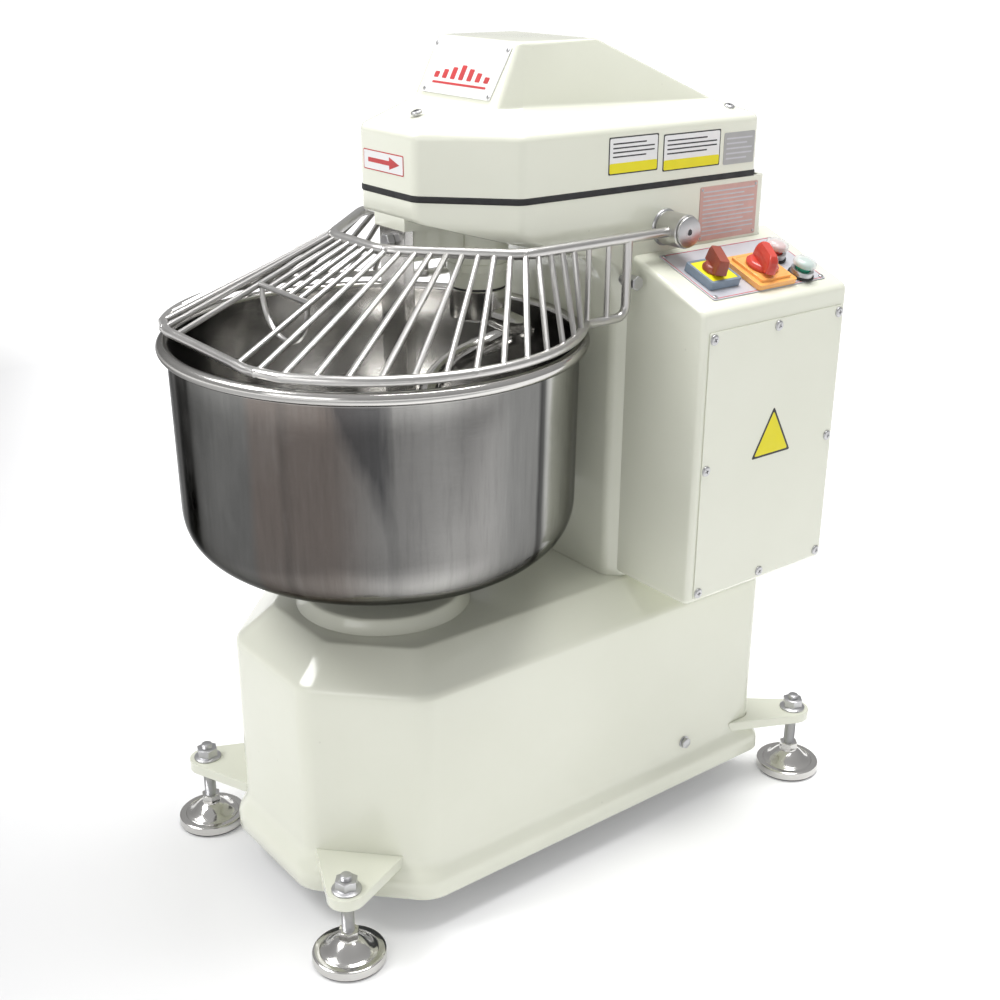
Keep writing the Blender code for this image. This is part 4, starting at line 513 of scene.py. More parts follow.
RECIPES = {
    "cream_enamel": (enamel, (0.800, 0.812, 0.700), (0.772, 0.785, 0.668)),
    "bowl_stainless": (bowl_steel,),
    "polished_stainless": (steel, (0.66, 0.65, 0.63), 0.09, 0.20, {"grain": (1, 1, 6)}),
    "satin_stainless": (steel, (0.62, 0.61, 0.595), 0.285, 0.36, {"grain": (1, 1, 6), "scratch": 0.05}),
    "brushed_stainless": (steel, (0.66, 0.65, 0.63), 0.16, 0.26, {"grain": (9, 9, 1), "scratch": 0.03}),
    "machined_steel": (steel, (0.56, 0.56, 0.57), 0.29, 0.42, {"grain": (4, 1, 1)}),
    "cast_iron": (steel, (0.16, 0.17, 0.17), 0.50, 0.70, {"grain_scale": 300.0, "scratch": 0.5}),
    "aluminium": (steel, (0.72, 0.73, 0.75), 0.30, 0.42, {"grain": (12, 1, 1)}),
    "black_rubber": (moulded, (0.022, 0.022, 0.024), 0.65, {"grain": 0.3}),
    "black_plastic": (moulded, (0.025, 0.025, 0.028), 0.40),
    "grey_plastic": (moulded, (0.22, 0.29, 0.37), 0.35, {"coat": 0.2}),
    "amber_plastic": (moulded, (0.93, 0.44, 0.12), 0.22, {"coat": 0.4, "shade": 0.98}),
    "red_plastic": (moulded, (0.62, 0.055, 0.035), 0.22, {"coat": 0.4}),
    "brown_plastic": (moulded, (0.30, 0.055, 0.030), 0.35, {"coat": 0.2}),
    "green_plastic": (moulded, (0.010, 0.33, 0.20), 0.20, {"coat": 0.6}),
    "clear_plastic": (
        moulded, (0.88, 0.90, 0.90), 0.12, {"coat": 0.5, "alpha": 0.38, "grain": 0.02, "shade": 0.97},
    ),
    "pink_plate": (moulded, (0.66, 0.40, 0.36), 0.35, {"grain": 0.05, "shade": 0.9}),
    "panel_silver": (label, (0.56, 0.56, 0.60), 0.34, {"coat": 0.5}),
    "sign_white": (label, (0.84, 0.84, 0.84), 0.22, {"coat": 0.3, "shade": 0.97}),
    "yellow_label": (label, (0.86, 0.76, 0.004), 0.50, {"shade": 0.97}),
    "grey_label": (label, (0.42, 0.42, 0.42), 0.35),
    "black_print": (label, (0.02, 0.02, 0.02), 0.45, {"shade": 0.8}),
    "red_print": (label, (0.60, 0.045, 0.05), 0.40, {"shade": 0.8}),
}


def cook(name):
    """A material from its recipe: the maker, its values and its named settings."""
    maker, *values = RECIPES[name]
    settings = values.pop() if values and isinstance(values[-1], dict) else {}
    return maker(name, *values, **settings)


MATERIALS = {name: cook(name) for name in RECIPES}
# the record's slot for each finish that only the looks have
SLOTS = {
    "bowl_stainless": "polished_stainless", "satin_stainless": "polished_stainless",
    "pink_plate": "aluminium", "panel_silver": "aluminium", "grey_label": "aluminium", "yellow_label": "amber_plastic",
    "black_print": "black_plastic", "red_print": "red_plastic",
}

# ---------------------------------------------------------------- mesh building


def mesh_object(name, builder):
    mesh = bpy.data.meshes.new(name)
    builder.to_mesh(mesh)
    builder.free()
    made = bpy.data.objects.new(name, mesh)
    bpy.context.scene.collection.objects.link(made)
    return made


def smooth_faces(mesh, limit_deg):
    """Smooth shading, with edges sharper than a limit left sharp."""
    mesh.shade_smooth()
    mesh.set_sharp_from_angle(angle=math.radians(limit_deg))


def piece(
    name, builder, material, body="frame", slot=None, replaces=(), smooth=SMOOTH_DEG, location=(0, 0, 0),
    rotation=(0, 0, 0),
):
    """A named mesh object that rides on a body."""
    bmesh.ops.recalc_face_normals(builder, faces=builder.faces)
    made = mesh_object(name, builder)
    made.data.materials.append(MATERIALS[material])
    smooth_faces(made.data, smooth)
    made.location = ORIGIN + Vector(location)
    made.rotation_euler = rotation
    if slot is None:
        slot = SLOTS.get(material, material)
    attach(made, body)
    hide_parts(*replaces)
    return made


def for_each(values, corners):
    """One value for each corner, from a list or from a single value."""
    return values if isinstance(values, list) else [values] * len(corners)


def inset(corners, distances):
    """An outline with each side moved inwards, or outwards when its distance is negative."""
    lines = []
    for index, (corner, distance) in enumerate(zip(corners, for_each(distances, corners))):
        start = Vector(corner)
        along = (Vector(corners[(index + 1) % len(corners)]) - start).normalized()
        lines.append((start + Vector((-along.y, along.x)) * distance, along))
    moved = []
    for index, (start, along) in enumerate(lines):
        before, before_along = lines[index - 1]
        cross = before_along.x * along.y - before_along.y * along.x
        share = ((start - before).x * along.y - (start - before).y * along.x) / cross
        moved.append(tuple(before + before_along * share))
    return moved


def rounded(corners, radii, steps):
    """An outline with its corners turned into arcs."""
    points = []
    for index, (corner, radius) in enumerate(zip(corners, for_each(radii, corners))):
        here = Vector(corner)
        to_last = (Vector(corners[index - 1]) - here).normalized()
        to_next = (Vector(corners[(index + 1) % len(corners)]) - here).normalized()
        half = to_last.angle(to_next) / 2
        centre = here + (to_last + to_next).normalized() * (radius / math.sin(half))
        first = here + to_last * (radius / math.tan(half)) - centre
        last = here + to_next * (radius / math.tan(half)) - centre
        turn = first.angle_signed(last)
        for step in range(steps + 1):
            arm = first.copy()
            arm.rotate(Matrix.Rotation(-turn * step / steps, 2))
            points.append(tuple(centre + arm))
    return points


def rectangle(low, high):
    return [(low[0], low[1]), (high[0], low[1]), (high[0], high[1]), (low[0], high[1])]


def box_outline(low, high, radius, steps=6):
    return rounded(rectangle(low, high), radius, steps)


def level(outline, height):
    return [(x, y, height) for x, y in outline]


def loft_mesh(rings):
    """A closed skin over rings of equal length."""
    builder = bmesh.new()
    layers = [[builder.verts.new(point) for point in ring] for ring in rings]
    for lower, upper in zip(layers, layers[1:]):
        for index in range(len(lower)):
            after = (index + 1) % len(lower)
            builder.faces.new((lower[index], lower[after], upper[after], upper[index]))
    builder.faces.new(reversed(layers[0]))
    builder.faces.new(layers[-1])
    return builder


def slab_mesh(outline, bottom, top):
    return loft_mesh([level(outline, bottom), level(outline, top)])


def block_mesh(low, high):
    return slab_mesh(rectangle(low, high), low[2], high[2])


def plate_mesh(half_x, half_y, radius, bottom, top):
    """A plate with rounded corners, centred on its origin."""
    return slab_mesh(box_outline((-half_x, -half_y), (half_x, half_y), radius), bottom, top)


def turned_mesh(profile, steps=96):
    """A profile of (radius, height) points spun about the upright axis."""
    builder = bmesh.new()
    verts = [builder.verts.new((radius, 0, height)) for radius, height in profile]
    edges = [builder.edges.new(pair) for pair in zip(verts, verts[1:])]
    if min(radius for radius, _ in profile) > 0:
        edges.append(builder.edges.new((verts[-1], verts[0])))
    bmesh.ops.spin(
        builder, geom=verts + edges, cent=(0, 0, 0), axis=(0, 0, 1), angle=math.tau, steps=steps,
        use_merge=True,
    )
    bmesh.ops.remove_doubles(builder, verts=builder.verts, dist=0.000005)
    return builder


def rod_mesh(radius, bottom, top, steps):
    return turned_mesh([(0, bottom), (radius, bottom), (radius, top), (0, top)], steps)


def above(height, profile):
    """A profile lifted to a height."""
    return [(radius, height + rise) for radius, rise in profile]


def dome_profile(radius, bottom, rise, power=1.0):
    points = []
    for step in range(12):
        angle = math.pi / 2 * step / 12
        points.append((radius * math.cos(angle) ** power, bottom + rise * math.sin(angle)))
    return points + [(0, bottom + rise)]


def hexagon_mesh(across_flats, bottom, top, chamfer=0.0008):
    radius = across_flats / math.sqrt(3)
    return turned_mesh([
        (0, bottom), (radius - chamfer, bottom), (radius, bottom + chamfer * 0.6),
        (radius, top - chamfer * 0.6), (radius - chamfer, top), (0, top),
    ], 6)


def tube_mesh(points, radius, resolution):
    curve = bpy.data.curves.new("line", "CURVE")
    curve.dimensions = "3D"
    curve.bevel_depth = radius
    curve.bevel_resolution = resolution
    curve.use_fill_caps = True
    spline = curve.splines.new("POLY")
    spline.points.add(len(points) - 1)
    for target, point in zip(spline.points, points):
        target.co = (*point, 1.0)
    guide = bpy.data.objects.new("line", curve)
    builder = bmesh.new()
    builder.from_mesh(guide.to_mesh())
    guide.to_mesh_clear()
    bpy.data.objects.remove(guide)
    bpy.data.curves.remove(curve)
    bmesh.ops.remove_doubles(builder, verts=builder.verts, dist=0.00001)
    return builder


def moved_mesh(builder, matrix):
    bmesh.ops.transform(builder, matrix=matrix, verts=builder.verts)
    return builder


def merged(builders):
    """Several meshes laid into one."""
    whole = bmesh.new()
    for builder in builders:
        holder = bpy.data.meshes.new("holder")
        builder.to_mesh(holder)
        builder.free()
        whole.from_mesh(holder)
        bpy.data.meshes.remove(holder)
    return whole


def cut(target, cutter_builders, operation="DIFFERENCE"):
    """Boolean several meshes off or onto an object and keep the result as its mesh."""
    group = bpy.data.collections.new("operands")
    bpy.context.scene.collection.children.link(group)
    helpers = []
    for builder in cutter_builders:
        bmesh.ops.recalc_face_normals(builder, faces=builder.faces)
        mesh = bpy.data.meshes.new("operand")
        builder.to_mesh(mesh)
        builder.free()
        helper = bpy.data.objects.new("operand", mesh)
        helper.matrix_world = target.matrix_world.copy()
        group.objects.link(helper)
        helpers.append(helper)
    modifier = target.modifiers.new("cut", "BOOLEAN")
    modifier.operation = operation
    modifier.solver = "EXACT"
    modifier.operand_type = "COLLECTION"
    modifier.collection = group
    bake_modifiers(target)
    for helper in helpers:
        bpy.data.meshes.remove(helper.data)
    bpy.data.collections.remove(group)


def joined_on(target, builders):
    cut(target, builders, "UNION")


def bake_modifiers(target):
    bpy.context.view_layer.update()
    graph = bpy.context.evaluated_depsgraph_get()
    mesh = bpy.data.meshes.new_from_object(target.evaluated_get(graph))
    target.modifiers.clear()
    old = target.data
    target.data = mesh
    mesh.name = old.name
    bpy.data.meshes.remove(old)
    smooth_faces(mesh, SMOOTH_DEG)


def soften_edges(target, width, segments=3, angle=30.0):
    modifier = target.modifiers.new("edges", "BEVEL")
    modifier.width = width
    modifier.segments = segments
    modifier.limit_method = "ANGLE"
    modifier.angle_limit = math.radians(angle)
    modifier.harden_normals = True
    modifier.use_clamp_overlap = True


def arc_points(centre, radius, start_deg, end_deg, steps):
    points = []
    for step in range(steps + 1):
        angle = math.radians(start_deg + (end_deg - start_deg) * step / steps)
        points.append((centre[0] + radius * math.cos(angle), centre[1] + radius * math.sin(angle), centre[2]))
    return points


def softened(corners, radius):
    """An open line with its corners turned into arcs."""
    points = [Vector(corners[0])]
    for before, here, after in zip(corners, corners[1:], corners[2:]):
        here = Vector(here)
        back = (Vector(before) - here).normalized()
        ahead = (Vector(after) - here).normalized()
        half = back.angle(ahead) / 2
        reach = radius / math.tan(half)
        centre = here + (back + ahead).normalized() * (radius / math.sin(half))
        first = here + back * reach - centre
        last = here + ahead * reach - centre
        for step in range(CORNER_STEPS + 1):
            points.append(centre + first.slerp(last, step / CORNER_STEPS) * radius)
    points.append(Vector(corners[-1]))
    return points


def mirrored(points):
    return [(-point[0], point[1], point[2]) for point in points]


def mirrored_corners(half):
    """A whole outline from its right half, given from the front to the back."""
    return [(-half[0][0], half[0][1])] + half + [(-x, y) for x, y in reversed(half[1:])]


# ---------------------------------------------------------------- screws


def screw_mesh(radius, height):
    """A pan head."""
    profile = [(0, 0), (radius, 0), (radius, height * 0.35)]
    for step in range(1, 7):
        angle = math.pi / 2 * step / 6
        shrink = 1 - 0.42 * (1 - math.cos(angle))
        profile.append((radius * shrink, height * (0.35 + 0.65 * math.sin(angle))))
    return turned_mesh(profile + [(0, height)], 40)


def cross_meshes(arm, wide, lows, highs):
    """Two crossing bars that cut a cross recess."""
    return [
        block_mesh((-arm, -wide, lows[0]), (arm, wide, highs[0])),
        block_mesh((-wide, -arm, lows[1]), (wide, arm, highs[1])),
    ]


def build_screw(name, size, location, rotation, spin=0.0):
    radius, height = size
    turned = (Euler(rotation).to_matrix() @ Matrix.Rotation(spin, 3, "Z")).to_euler()
    head = piece(name, screw_mesh(radius, height), "machined_steel", location=location, rotation=turned)
    lows, highs = (height * 0.45, height * 0.44), (height * 2, height * 2.1)
    cut(head, cross_meshes(radius * 0.45, radius * 0.11, lows, highs))


REAR_SCREW = (0.0045, 0.0025)
HOOD_SCREW = (0.0065, 0.0034)
SIGN_SCREW = (0.0024, 0.0012)
DOOR_SCREW = (0.0062, 0.0023)
RIVET = (0.0017, 0.0009)
PANEL_SCREW = (0.0031, 0.0017)

# ---------------------------------------------------------------- base


def base_rings(grow, bottom_extra=0.0):
    """The base's outline at each height, from how far its sides and its rear lie out from the wall."""
    bottom = BASE_BOTTOM - bottom_extra
    levels = [(bottom, SKIRT_FLARE - 0.001, SKIRT_FLARE - 0.001), (bottom + 0.0015, SKIRT_FLARE, SKIRT_FLARE)]
    levels += [(height, SKIRT_FLARE * share, SKIRT_FLARE * share) for height, share in SKIRT_CURVE]
    wall_top = BASE_SHOULDER - 0.012
    levels.append((wall_top - 0.006, 0.0, 0.0))
    lean = math.atan2(BASE_TOP - BASE_SHOULDER, SHOULDER_RUN)
    radius = SHOULDER_LOW_RADIUS
    for step in range(1, 8):
        angle = (math.pi / 2 - lean) * step / 7
        levels.append((
            wall_top + radius * math.sin(angle), -radius * (1 - math.cos(angle)), -0.002 * step / 7,
        ))
    slope_start = levels[-1]
    radius = SHOULDER_TOP_RADIUS
    run_end = -SHOULDER_RUN + radius * math.sin(lean)
    drop = radius * (1 - math.cos(lean))
    for share in (0.5, 1.0):
        levels.append((
            slope_start[0] + (BASE_TOP - drop - slope_start[0]) * share,
            slope_start[1] + (run_end - slope_start[1]) * share,
            -0.002 - 0.001 * share,
        ))
    for step in range(1, 6):
        angle = lean * (1 - step / 5)
        levels.append((
            BASE_TOP - radius * (1 - math.cos(angle)), -SHOULDER_RUN + radius * math.sin(angle),
            -0.003 - 0.001 * step / 5,
        ))
    corners = mirrored_corners([
        (BASE_NOSE_HALF_WIDTH, BASE_FRONT_Y), (BASE_HALF_WIDTH, BASE_CHAMFER_Y),
        (BASE_HALF_WIDTH, BASE_REAR_Y),
    ])
    rings = []
    for height, spread, rear in levels:
        sides = [-(spread + grow)] * 6
        sides[3] = -(rear + grow)
        bend = BASE_CORNER + spread * 0.4 + grow
        radii = [bend, bend, bend, BASE_REAR_CORNER, BASE_REAR_CORNER, bend]
        lift = grow if height > BASE_SHOULDER else 0.0
        rings.append(level(rounded(inset(corners, sides), radii, 14), height + lift))
    return rings


def build_base():
    shell = piece("base_housing", loft_mesh(base_rings(0.0)), "cream_enamel", replaces=["base_shell"])
    inner = loft_mesh(base_rings(-BASE_WALL, bottom_extra=0.02))
    cut(shell, [inner, rod_mesh(BASE_HOLE_RADIUS, BASE_TOP - 0.03, BASE_TOP + 0.03, 96)])
    for side, side_name in SIDES:
        turn = Matrix.Rotation(side * math.pi / 2, 4, "Y")
        washer = turned_mesh([(0, 0), (0.0085, 0), (0.0085, 0.0010), (0.0080, 0.0013), (0, 0.0013)], 40)
        head = merged([moved_mesh(hexagon_mesh(0.013, 0.0012, 0.0062), turn), moved_mesh(washer, turn)])
        place = (side * BASE_HALF_WIDTH, *BASE_BOLT_AT)
        piece(f"base_bolt_{side_name}", head, "machined_steel", location=place)


def bracket_outline(roots, foot, order):
    """The roots on the base, then the round tip over the foot."""
    def tangent(start, side):
        reach = Vector(start) - Vector(foot)
        return math.atan2(reach.y, reach.x) + side * math.acos(BRACKET_TIP_RADIUS / reach.length)

    start = tangent(roots[-1], order)
    end = tangent(roots[0], -order)
    if order > 0 and end < start:
        end += math.tau
    if order < 0 and end > start:
        end -= math.tau
    nose = arc_points((*foot, 0), BRACKET_TIP_RADIUS, math.degrees(start), math.degrees(end), 28)
    return roots + [(x, y) for x, y, _ in nose]


def build_bracket(key, side, roots, foot):
    here = (side * foot[0], foot[1])
    outline = bracket_outline([(side * x, y) for x, y in roots], here, side)
    slab = slab_mesh(outline, BRACKET_TOP - BRACKET_THICKNESS, BRACKET_TOP)
    lug = piece(f"bracket_{key}", slab, "cream_enamel", replaces=[f"foot_bracket_{key}"])
    hole = moved_mesh(rod_mesh(STEM_RADIUS + 0.0006, 0.07, 0.13, 48), Matrix.Translation((*here, 0)))
    cut(lug, [hole, loft_mesh(base_rings(0.0002))])
    soften_edges(lug, 0.0022, 4)
    flange = above(BRACKET_TOP, [
        (0, 0.0002), (0.0170, 0.0002), (0.0174, 0.0008), (0.0172, 0.0018), (0.0125, 0.0044), (0, 0.0044),
    ])
    nut = merged([hexagon_mesh(0.024, BRACKET_TOP + 0.0015, BRACKET_TOP + 0.0145), turned_mesh(flange, 56)])
    piece(f"nut_{key}", nut, "machined_steel", location=(*here, 0), rotation=(0, 0, 0.35 * side))


THREAD_PITCH = 0.002
THREAD_DEPTH = 0.0009


def thread_mesh(radius, bottom, top):
    """A screw thread as stacked ridges, closed at both ends."""
    root = radius - THREAD_DEPTH
    profile = [(0, bottom), (root, bottom)]
    height = bottom
    while height + THREAD_PITCH < top:
        profile.append((root, height + THREAD_PITCH * 0.15))
        profile.append((radius, height + THREAD_PITCH * 0.5))
        profile.append((root, height + THREAD_PITCH * 0.85))
        height += THREAD_PITCH
    profile += [(root, top - 0.0005), (root - 0.0008, top), (0, top)]
    return turned_mesh(profile, 40)


def build_foot(key, side, foot):
    height, radius = FOOT_CUP_HEIGHT, FOOT_RADIUS
    cup = [
        (0, 0.0088), (radius - 0.0012, 0.0088), (radius - 0.0012, 0.0030), (radius - 0.0006, 0.0026),
        (radius, 0.0032), (radius, height - 0.0035), (radius - 0.0006, height - 0.0014),
        (radius - 0.0020, height - 0.0003), (radius - 0.0036, height), (radius * 0.80, height),
        (radius * 0.785, height - 0.0006), (radius * 0.770, height), (radius * 0.735, height + 0.0004),
        (radius * 0.66, height + 0.0022), (radius * 0.55, height + 0.0066), (radius * 0.44, height + 0.0112),
        (radius * 0.34, height + 0.0142), (0.0118, height + 0.0158), (0.0112, height + 0.0180),
        (0, height + 0.0180),
    ]
    pad = [
        (0, 0), (radius - 0.0030, 0), (radius - 0.0016, 0.0008), (radius - 0.0014, 0.0030),
        (radius - 0.0014, 0.0085), (0, 0.0085),
    ]
    settings = {"body": f"foot_{key}", "location": (side * foot[0], foot[1], 0)}
    cup_mesh = merged([turned_mesh(cup), hexagon_mesh(0.022, height + 0.0170, height + 0.0275)])
    piece(f"foot_cup_{key}", cup_mesh, "polished_stainless", slot="brushed_stainless",
          replaces=[f"foot_{key}"], rotation=(0, 0, 0.4 * side), **settings)
    piece(f"foot_stem_{key}", thread_mesh(STEM_RADIUS, height + 0.0265, STEM_TOP), "machined_steel",
          slot="brushed_stainless", **settings)
    piece(f"foot_rubber_{key}", turned_mesh(pad), "black_rubber", replaces=[f"foot_pad_{key}"], **settings)


def build_corners():
    """The four brackets with their nuts, then the four feet."""
    ends = (("front", FRONT_BRACKET_ROOTS, FRONT_FOOT), ("rear", REAR_BRACKET_ROOTS, REAR_FOOT))
    for side, side_name in SIDES:
        for end, roots, foot in ends:
            build_bracket(f"{end}_{side_name}", side, roots, foot)
    for side, side_name in SIDES:
        for end, _, foot in ends:
            build_foot(f"{end}_{side_name}", side, foot)


# ---------------------------------------------------------------- column and head


def head_outline(front_y, grow, radius, rear_y=COLUMN_REAR_Y, steps=CORNER_STEPS):
    """The outline of the head or the column, from a nose at front_y to the rear."""
    slope = (HEAD_HALF_WIDTH - HEAD_NOSE_HALF_WIDTH) / (HEAD_CHAMFER_Y - HEAD_FRONT_Y)
    nose = HEAD_NOSE_HALF_WIDTH + max(0.0, front_y - HEAD_FRONT_Y) * slope
    shoulder_y = HEAD_CHAMFER_Y
    if nose > HEAD_HALF_WIDTH - COLUMN_CHAMFER:
        share = min(1.0, (nose - HEAD_HALF_WIDTH + COLUMN_CHAMFER) / COLUMN_CHAMFER)
        nose = HEAD_HALF_WIDTH - COLUMN_CHAMFER + 0.012 * share
        shoulder_y = front_y + COLUMN_CHAMFER - 0.012 * share
    corners = mirrored_corners([(nose, front_y), (HEAD_HALF_WIDTH, shoulder_y), (HEAD_HALF_WIDTH, rear_y)])
    radii = [radius, radius, radius, HEAD_REAR_CORNER, HEAD_REAR_CORNER, radius]
    return rounded(inset(corners, -grow), radii, steps)


def throat_levels(steps):
    """Heights up the column and out under the head, with the front of the outline at each."""
    floor_angle = math.atan(-HEAD_FLOOR_SLOPE)
    centre_y = COLUMN_FRONT_Y - THROAT_RADIUS
    tangent_y = centre_y + THROAT_RADIUS * math.sin(floor_angle)
    floor_z = HEAD_FLOOR_FRONT + HEAD_FLOOR_SLOPE * (tangent_y - HEAD_FRONT_Y)
    centre_z = floor_z - THROAT_RADIUS * math.cos(floor_angle)
    levels = [(BASE_TOP + GAP, COLUMN_FRONT_Y), (centre_z - 0.12, COLUMN_FRONT_Y)]
    for step in range(steps + 1):
        angle = (math.pi / 2 - floor_angle) * step / steps
        height = centre_z + THROAT_RADIUS * math.sin(angle)
        levels.append((height, centre_y + THROAT_RADIUS * math.cos(angle)))
    for share in (0.2, 0.4, 0.6, 0.8, 0.93):
        front_y = tangent_y + (HEAD_FRONT_Y - tangent_y) * share
        levels.append((HEAD_FLOOR_FRONT + HEAD_FLOOR_SLOPE * (front_y - HEAD_FRONT_Y), front_y))
    for rise, back in ((-0.0015, 0.0055), (0.0012, 0.0018), (0.0050, 0.0)):
        levels.append((HEAD_FLOOR_FRONT + rise, HEAD_FRONT_Y + back))
    levels.append((HEAD_SPLIT, HEAD_FRONT_Y))
    return levels


def build_column():
    rings = [level(head_outline(front_y, 0.0, HEAD_CORNER), height) for height, front_y in throat_levels(20)]
    shell = piece("column_housing", loft_mesh(rings), "cream_enamel", replaces=["column_shell"])
    levels = throat_levels(8)
    shifts = [-0.01] + [0.006] * (len(levels) - 2) + [0.01]
    inner = []
    for (height, front_y), shift in zip(levels, shifts):
        outline = head_outline(front_y, -COLUMN_WALL, HEAD_CORNER - COLUMN_WALL, steps=6)
        inner.append(level(outline, height + shift))
    neck = moved_mesh(rod_mesh(SLEEVE_NECK_RADIUS, 0.74, 0.81, 72), Matrix.Translation((0, SPIRAL_Y, 0)))
    (left, bottom), (right, top) = REAR_HOLE
    rear = block_mesh((left, COLUMN_REAR_Y - 0.02, bottom), (right, COLUMN_REAR_Y + 0.02, top))
    cut(shell, [loft_mesh(inner), neck, rear])
    panel_y = COLUMN_REAR_Y + GAP
    (left, bottom), (right, top) = REAR_PANEL
    plate = block_mesh((left, panel_y, bottom), (right, panel_y + REAR_PANEL_THICKNESS, top))
    soften_edges(piece("rear_panel", plate, "cream_enamel", replaces=["rear_cover"]), 0.0006, 2)
    for index, (x, z) in enumerate((x, z) for x in REAR_SCREW_X for z in REAR_SCREW_Z):
        place = (x, panel_y + REAR_PANEL_THICKNESS, z)
        build_screw(f"rear_panel_screw_{index}", REAR_SCREW, place, (-math.pi / 2, 0, 0), 0.7 * index)


def blended_ring(before, here, after, radius, share):
    """One ring of the round edge where two slopes meet at a ring."""
    ring = []
    for a, b, c in zip(before, here, after):
        start = b + (a - b).normalized() * min(radius, (a - b).length * 0.45)
        end = b + (c - b).normalized() * min(radius, (c - b).length * 0.45)
        ring.append(start * (1 - share) ** 2 + b * 2 * share * (1 - share) + end * share ** 2)
    return ring


def cover_rings(grow, drop, bottom):
    """The cover from its lower edge over the wall, the sloping deck and the hump's sides to its flat top."""
    wall = head_outline(HEAD_FRONT_Y, grow, HEAD_CORNER, COVER_REAR_Y)

    def spread(half, heights):
        flat = rounded(mirrored_corners(half), HUMP_CORNER, CORNER_STEPS)
        tall = [heights[corner] for corner in (0, 0, 1, 2, 2, 1)]
        return [Vector((x, y, tall[index // (CORNER_STEPS + 1)] - drop)) for index, (x, y) in enumerate(flat)]

    half, top_half = HUMP_HALF_WIDTH + grow, HUMP_TOP_HALF_WIDTH + grow
    foot = spread([
        (half, HUMP_FRONT_Y - grow), (half + 0.004, HUMP_FRONT_Y + 0.032), (half + 0.004, HUMP_REAR_Y + grow),
    ], (DECK_FRONT_Z, DECK_MIDDLE_Z, DECK_REAR_Z))
    crown = spread([
        (top_half, HUMP_TOP_FRONT_Y - grow), (top_half + 0.001, HUMP_TOP_FRONT_Y + 0.016),
        (top_half + 0.001, HUMP_TOP_REAR_Y + grow),
    ], (HUMP_TOP, HUMP_TOP, HUMP_TOP))
    lower = [Vector((x, y, bottom)) for x, y in wall]
    edge = [Vector((x, y, COVER_WALL_TOP - drop)) for x, y in wall]
    middle = Vector((0, (HUMP_TOP_FRONT_Y + HUMP_TOP_REAR_Y) / 2, HUMP_TOP - drop))
    path = [lower, edge, foot, crown, [middle] * len(crown)]
    rings = [lower]
    for before, here, after, radius in zip(path, path[1:], path[2:], (0.008, 0.004, 0.005)):
        rings += [blended_ring(before, here, after, radius, step / 7) for step in range(8)]
    return rings


def build_cover():
    gasket_top = HEAD_SPLIT + GASKET_HEIGHT
    outer = head_outline(HEAD_FRONT_Y, GASKET_PROUD, HEAD_CORNER, COVER_REAR_Y)
    inner = head_outline(HEAD_FRONT_Y, -0.010, HEAD_CORNER - 0.008, COVER_REAR_Y)
    band = slab_mesh(outer, HEAD_SPLIT + GAP, gasket_top)
    gasket = piece("head_seal", band, "black_rubber", replaces=["head_gasket"])
    cut(gasket, [slab_mesh(inner, 0.82, 0.86)])
    soften_edges(gasket, 0.0012)
    bottom = gasket_top + GAP
    shape = loft_mesh(cover_rings(0.0, 0.0, bottom))
    cover = piece("head_hood", shape, "cream_enamel", replaces=["head_cover"], smooth=40)
    cut(cover, [loft_mesh(cover_rings(-COVER_WALL, COVER_WALL, bottom - 0.02))])
    places = (
        ((0.0, 0.062, 0.9195), (0.32, 0.0, 0)), ((0.110, 0.438, 0.9135), (0.0, 0.32, 0)),
        ((-0.110, 0.438, 0.9135), (0.0, -0.32, 0)),
    )
    for index, (place, tilt) in enumerate(places):
        build_screw(f"hood_screw_{index}", HOOD_SCREW, place, tilt, 0.4)


SIGN_TURN = (math.pi / 2 - HUMP_LEAN, 0, 0)
MARK_FOOT = -0.0125
MARK_BOTTOM = 0.0009
MARK_TOP = 0.0014


def build_sign():
    low = Vector((0, HUMP_FRONT_Y, DECK_FRONT_Z))
    high = Vector((0, HUMP_TOP_FRONT_Y, HUMP_TOP))
    out = Vector((0, -math.cos(HUMP_LEAN), math.sin(HUMP_LEAN)))
    middle = low.lerp(high, 0.50) + out * GAP
    outline = rounded([(-0.0634, -0.0305), (0.0634, -0.0305), (0.0705, 0.0305), (-0.0705, 0.0305)], 0.002, 5)
    place = {"location": middle, "rotation": SIGN_TURN}
    board = slab_mesh(outline, 0, SIGN_THICKNESS)
    soften_edges(piece("sign_board", board, "sign_white", replaces=["sign_plate"], **place), 0.0003, 2)
    piece("sign_marks", sign_marks_mesh(), "red_print", **place)
    corners = ((-0.060, -0.0265), (0.060, -0.0265), (0.0655, 0.0265), (-0.0655, 0.0265))
    for index, (x, y) in enumerate(corners):
        spot = middle + Matrix.Rotation(SIGN_TURN[0], 3, "X") @ Vector((x, y, 0.0010))
        build_screw(f"sign_screw_{index}", SIGN_SCREW, spot, SIGN_TURN)


def sign_marks_mesh():
    """A plain row of bars over a line, tallest in the middle, in place of a name."""
    line = box_outline((-0.050, -0.019), (0.050, -0.0165), 0.001, 3)
    marks = [slab_mesh(line, MARK_BOTTOM, MARK_TOP)]
    for index in range(7):
        x = -0.0465 + 0.0155 * index
        top = MARK_FOOT + (0.007 + 0.010 * (1 - abs(index - 3) / 3))
        corners = [(x - 0.0042, MARK_FOOT), (x + 0.0042, MARK_FOOT), (x + 0.0052, top), (x - 0.0032, top)]
        marks.append(slab_mesh(rounded(corners, 0.0012, 3), MARK_BOTTOM, MARK_TOP))
    return merged(marks)


# ---------------------------------------------------------------- bowl


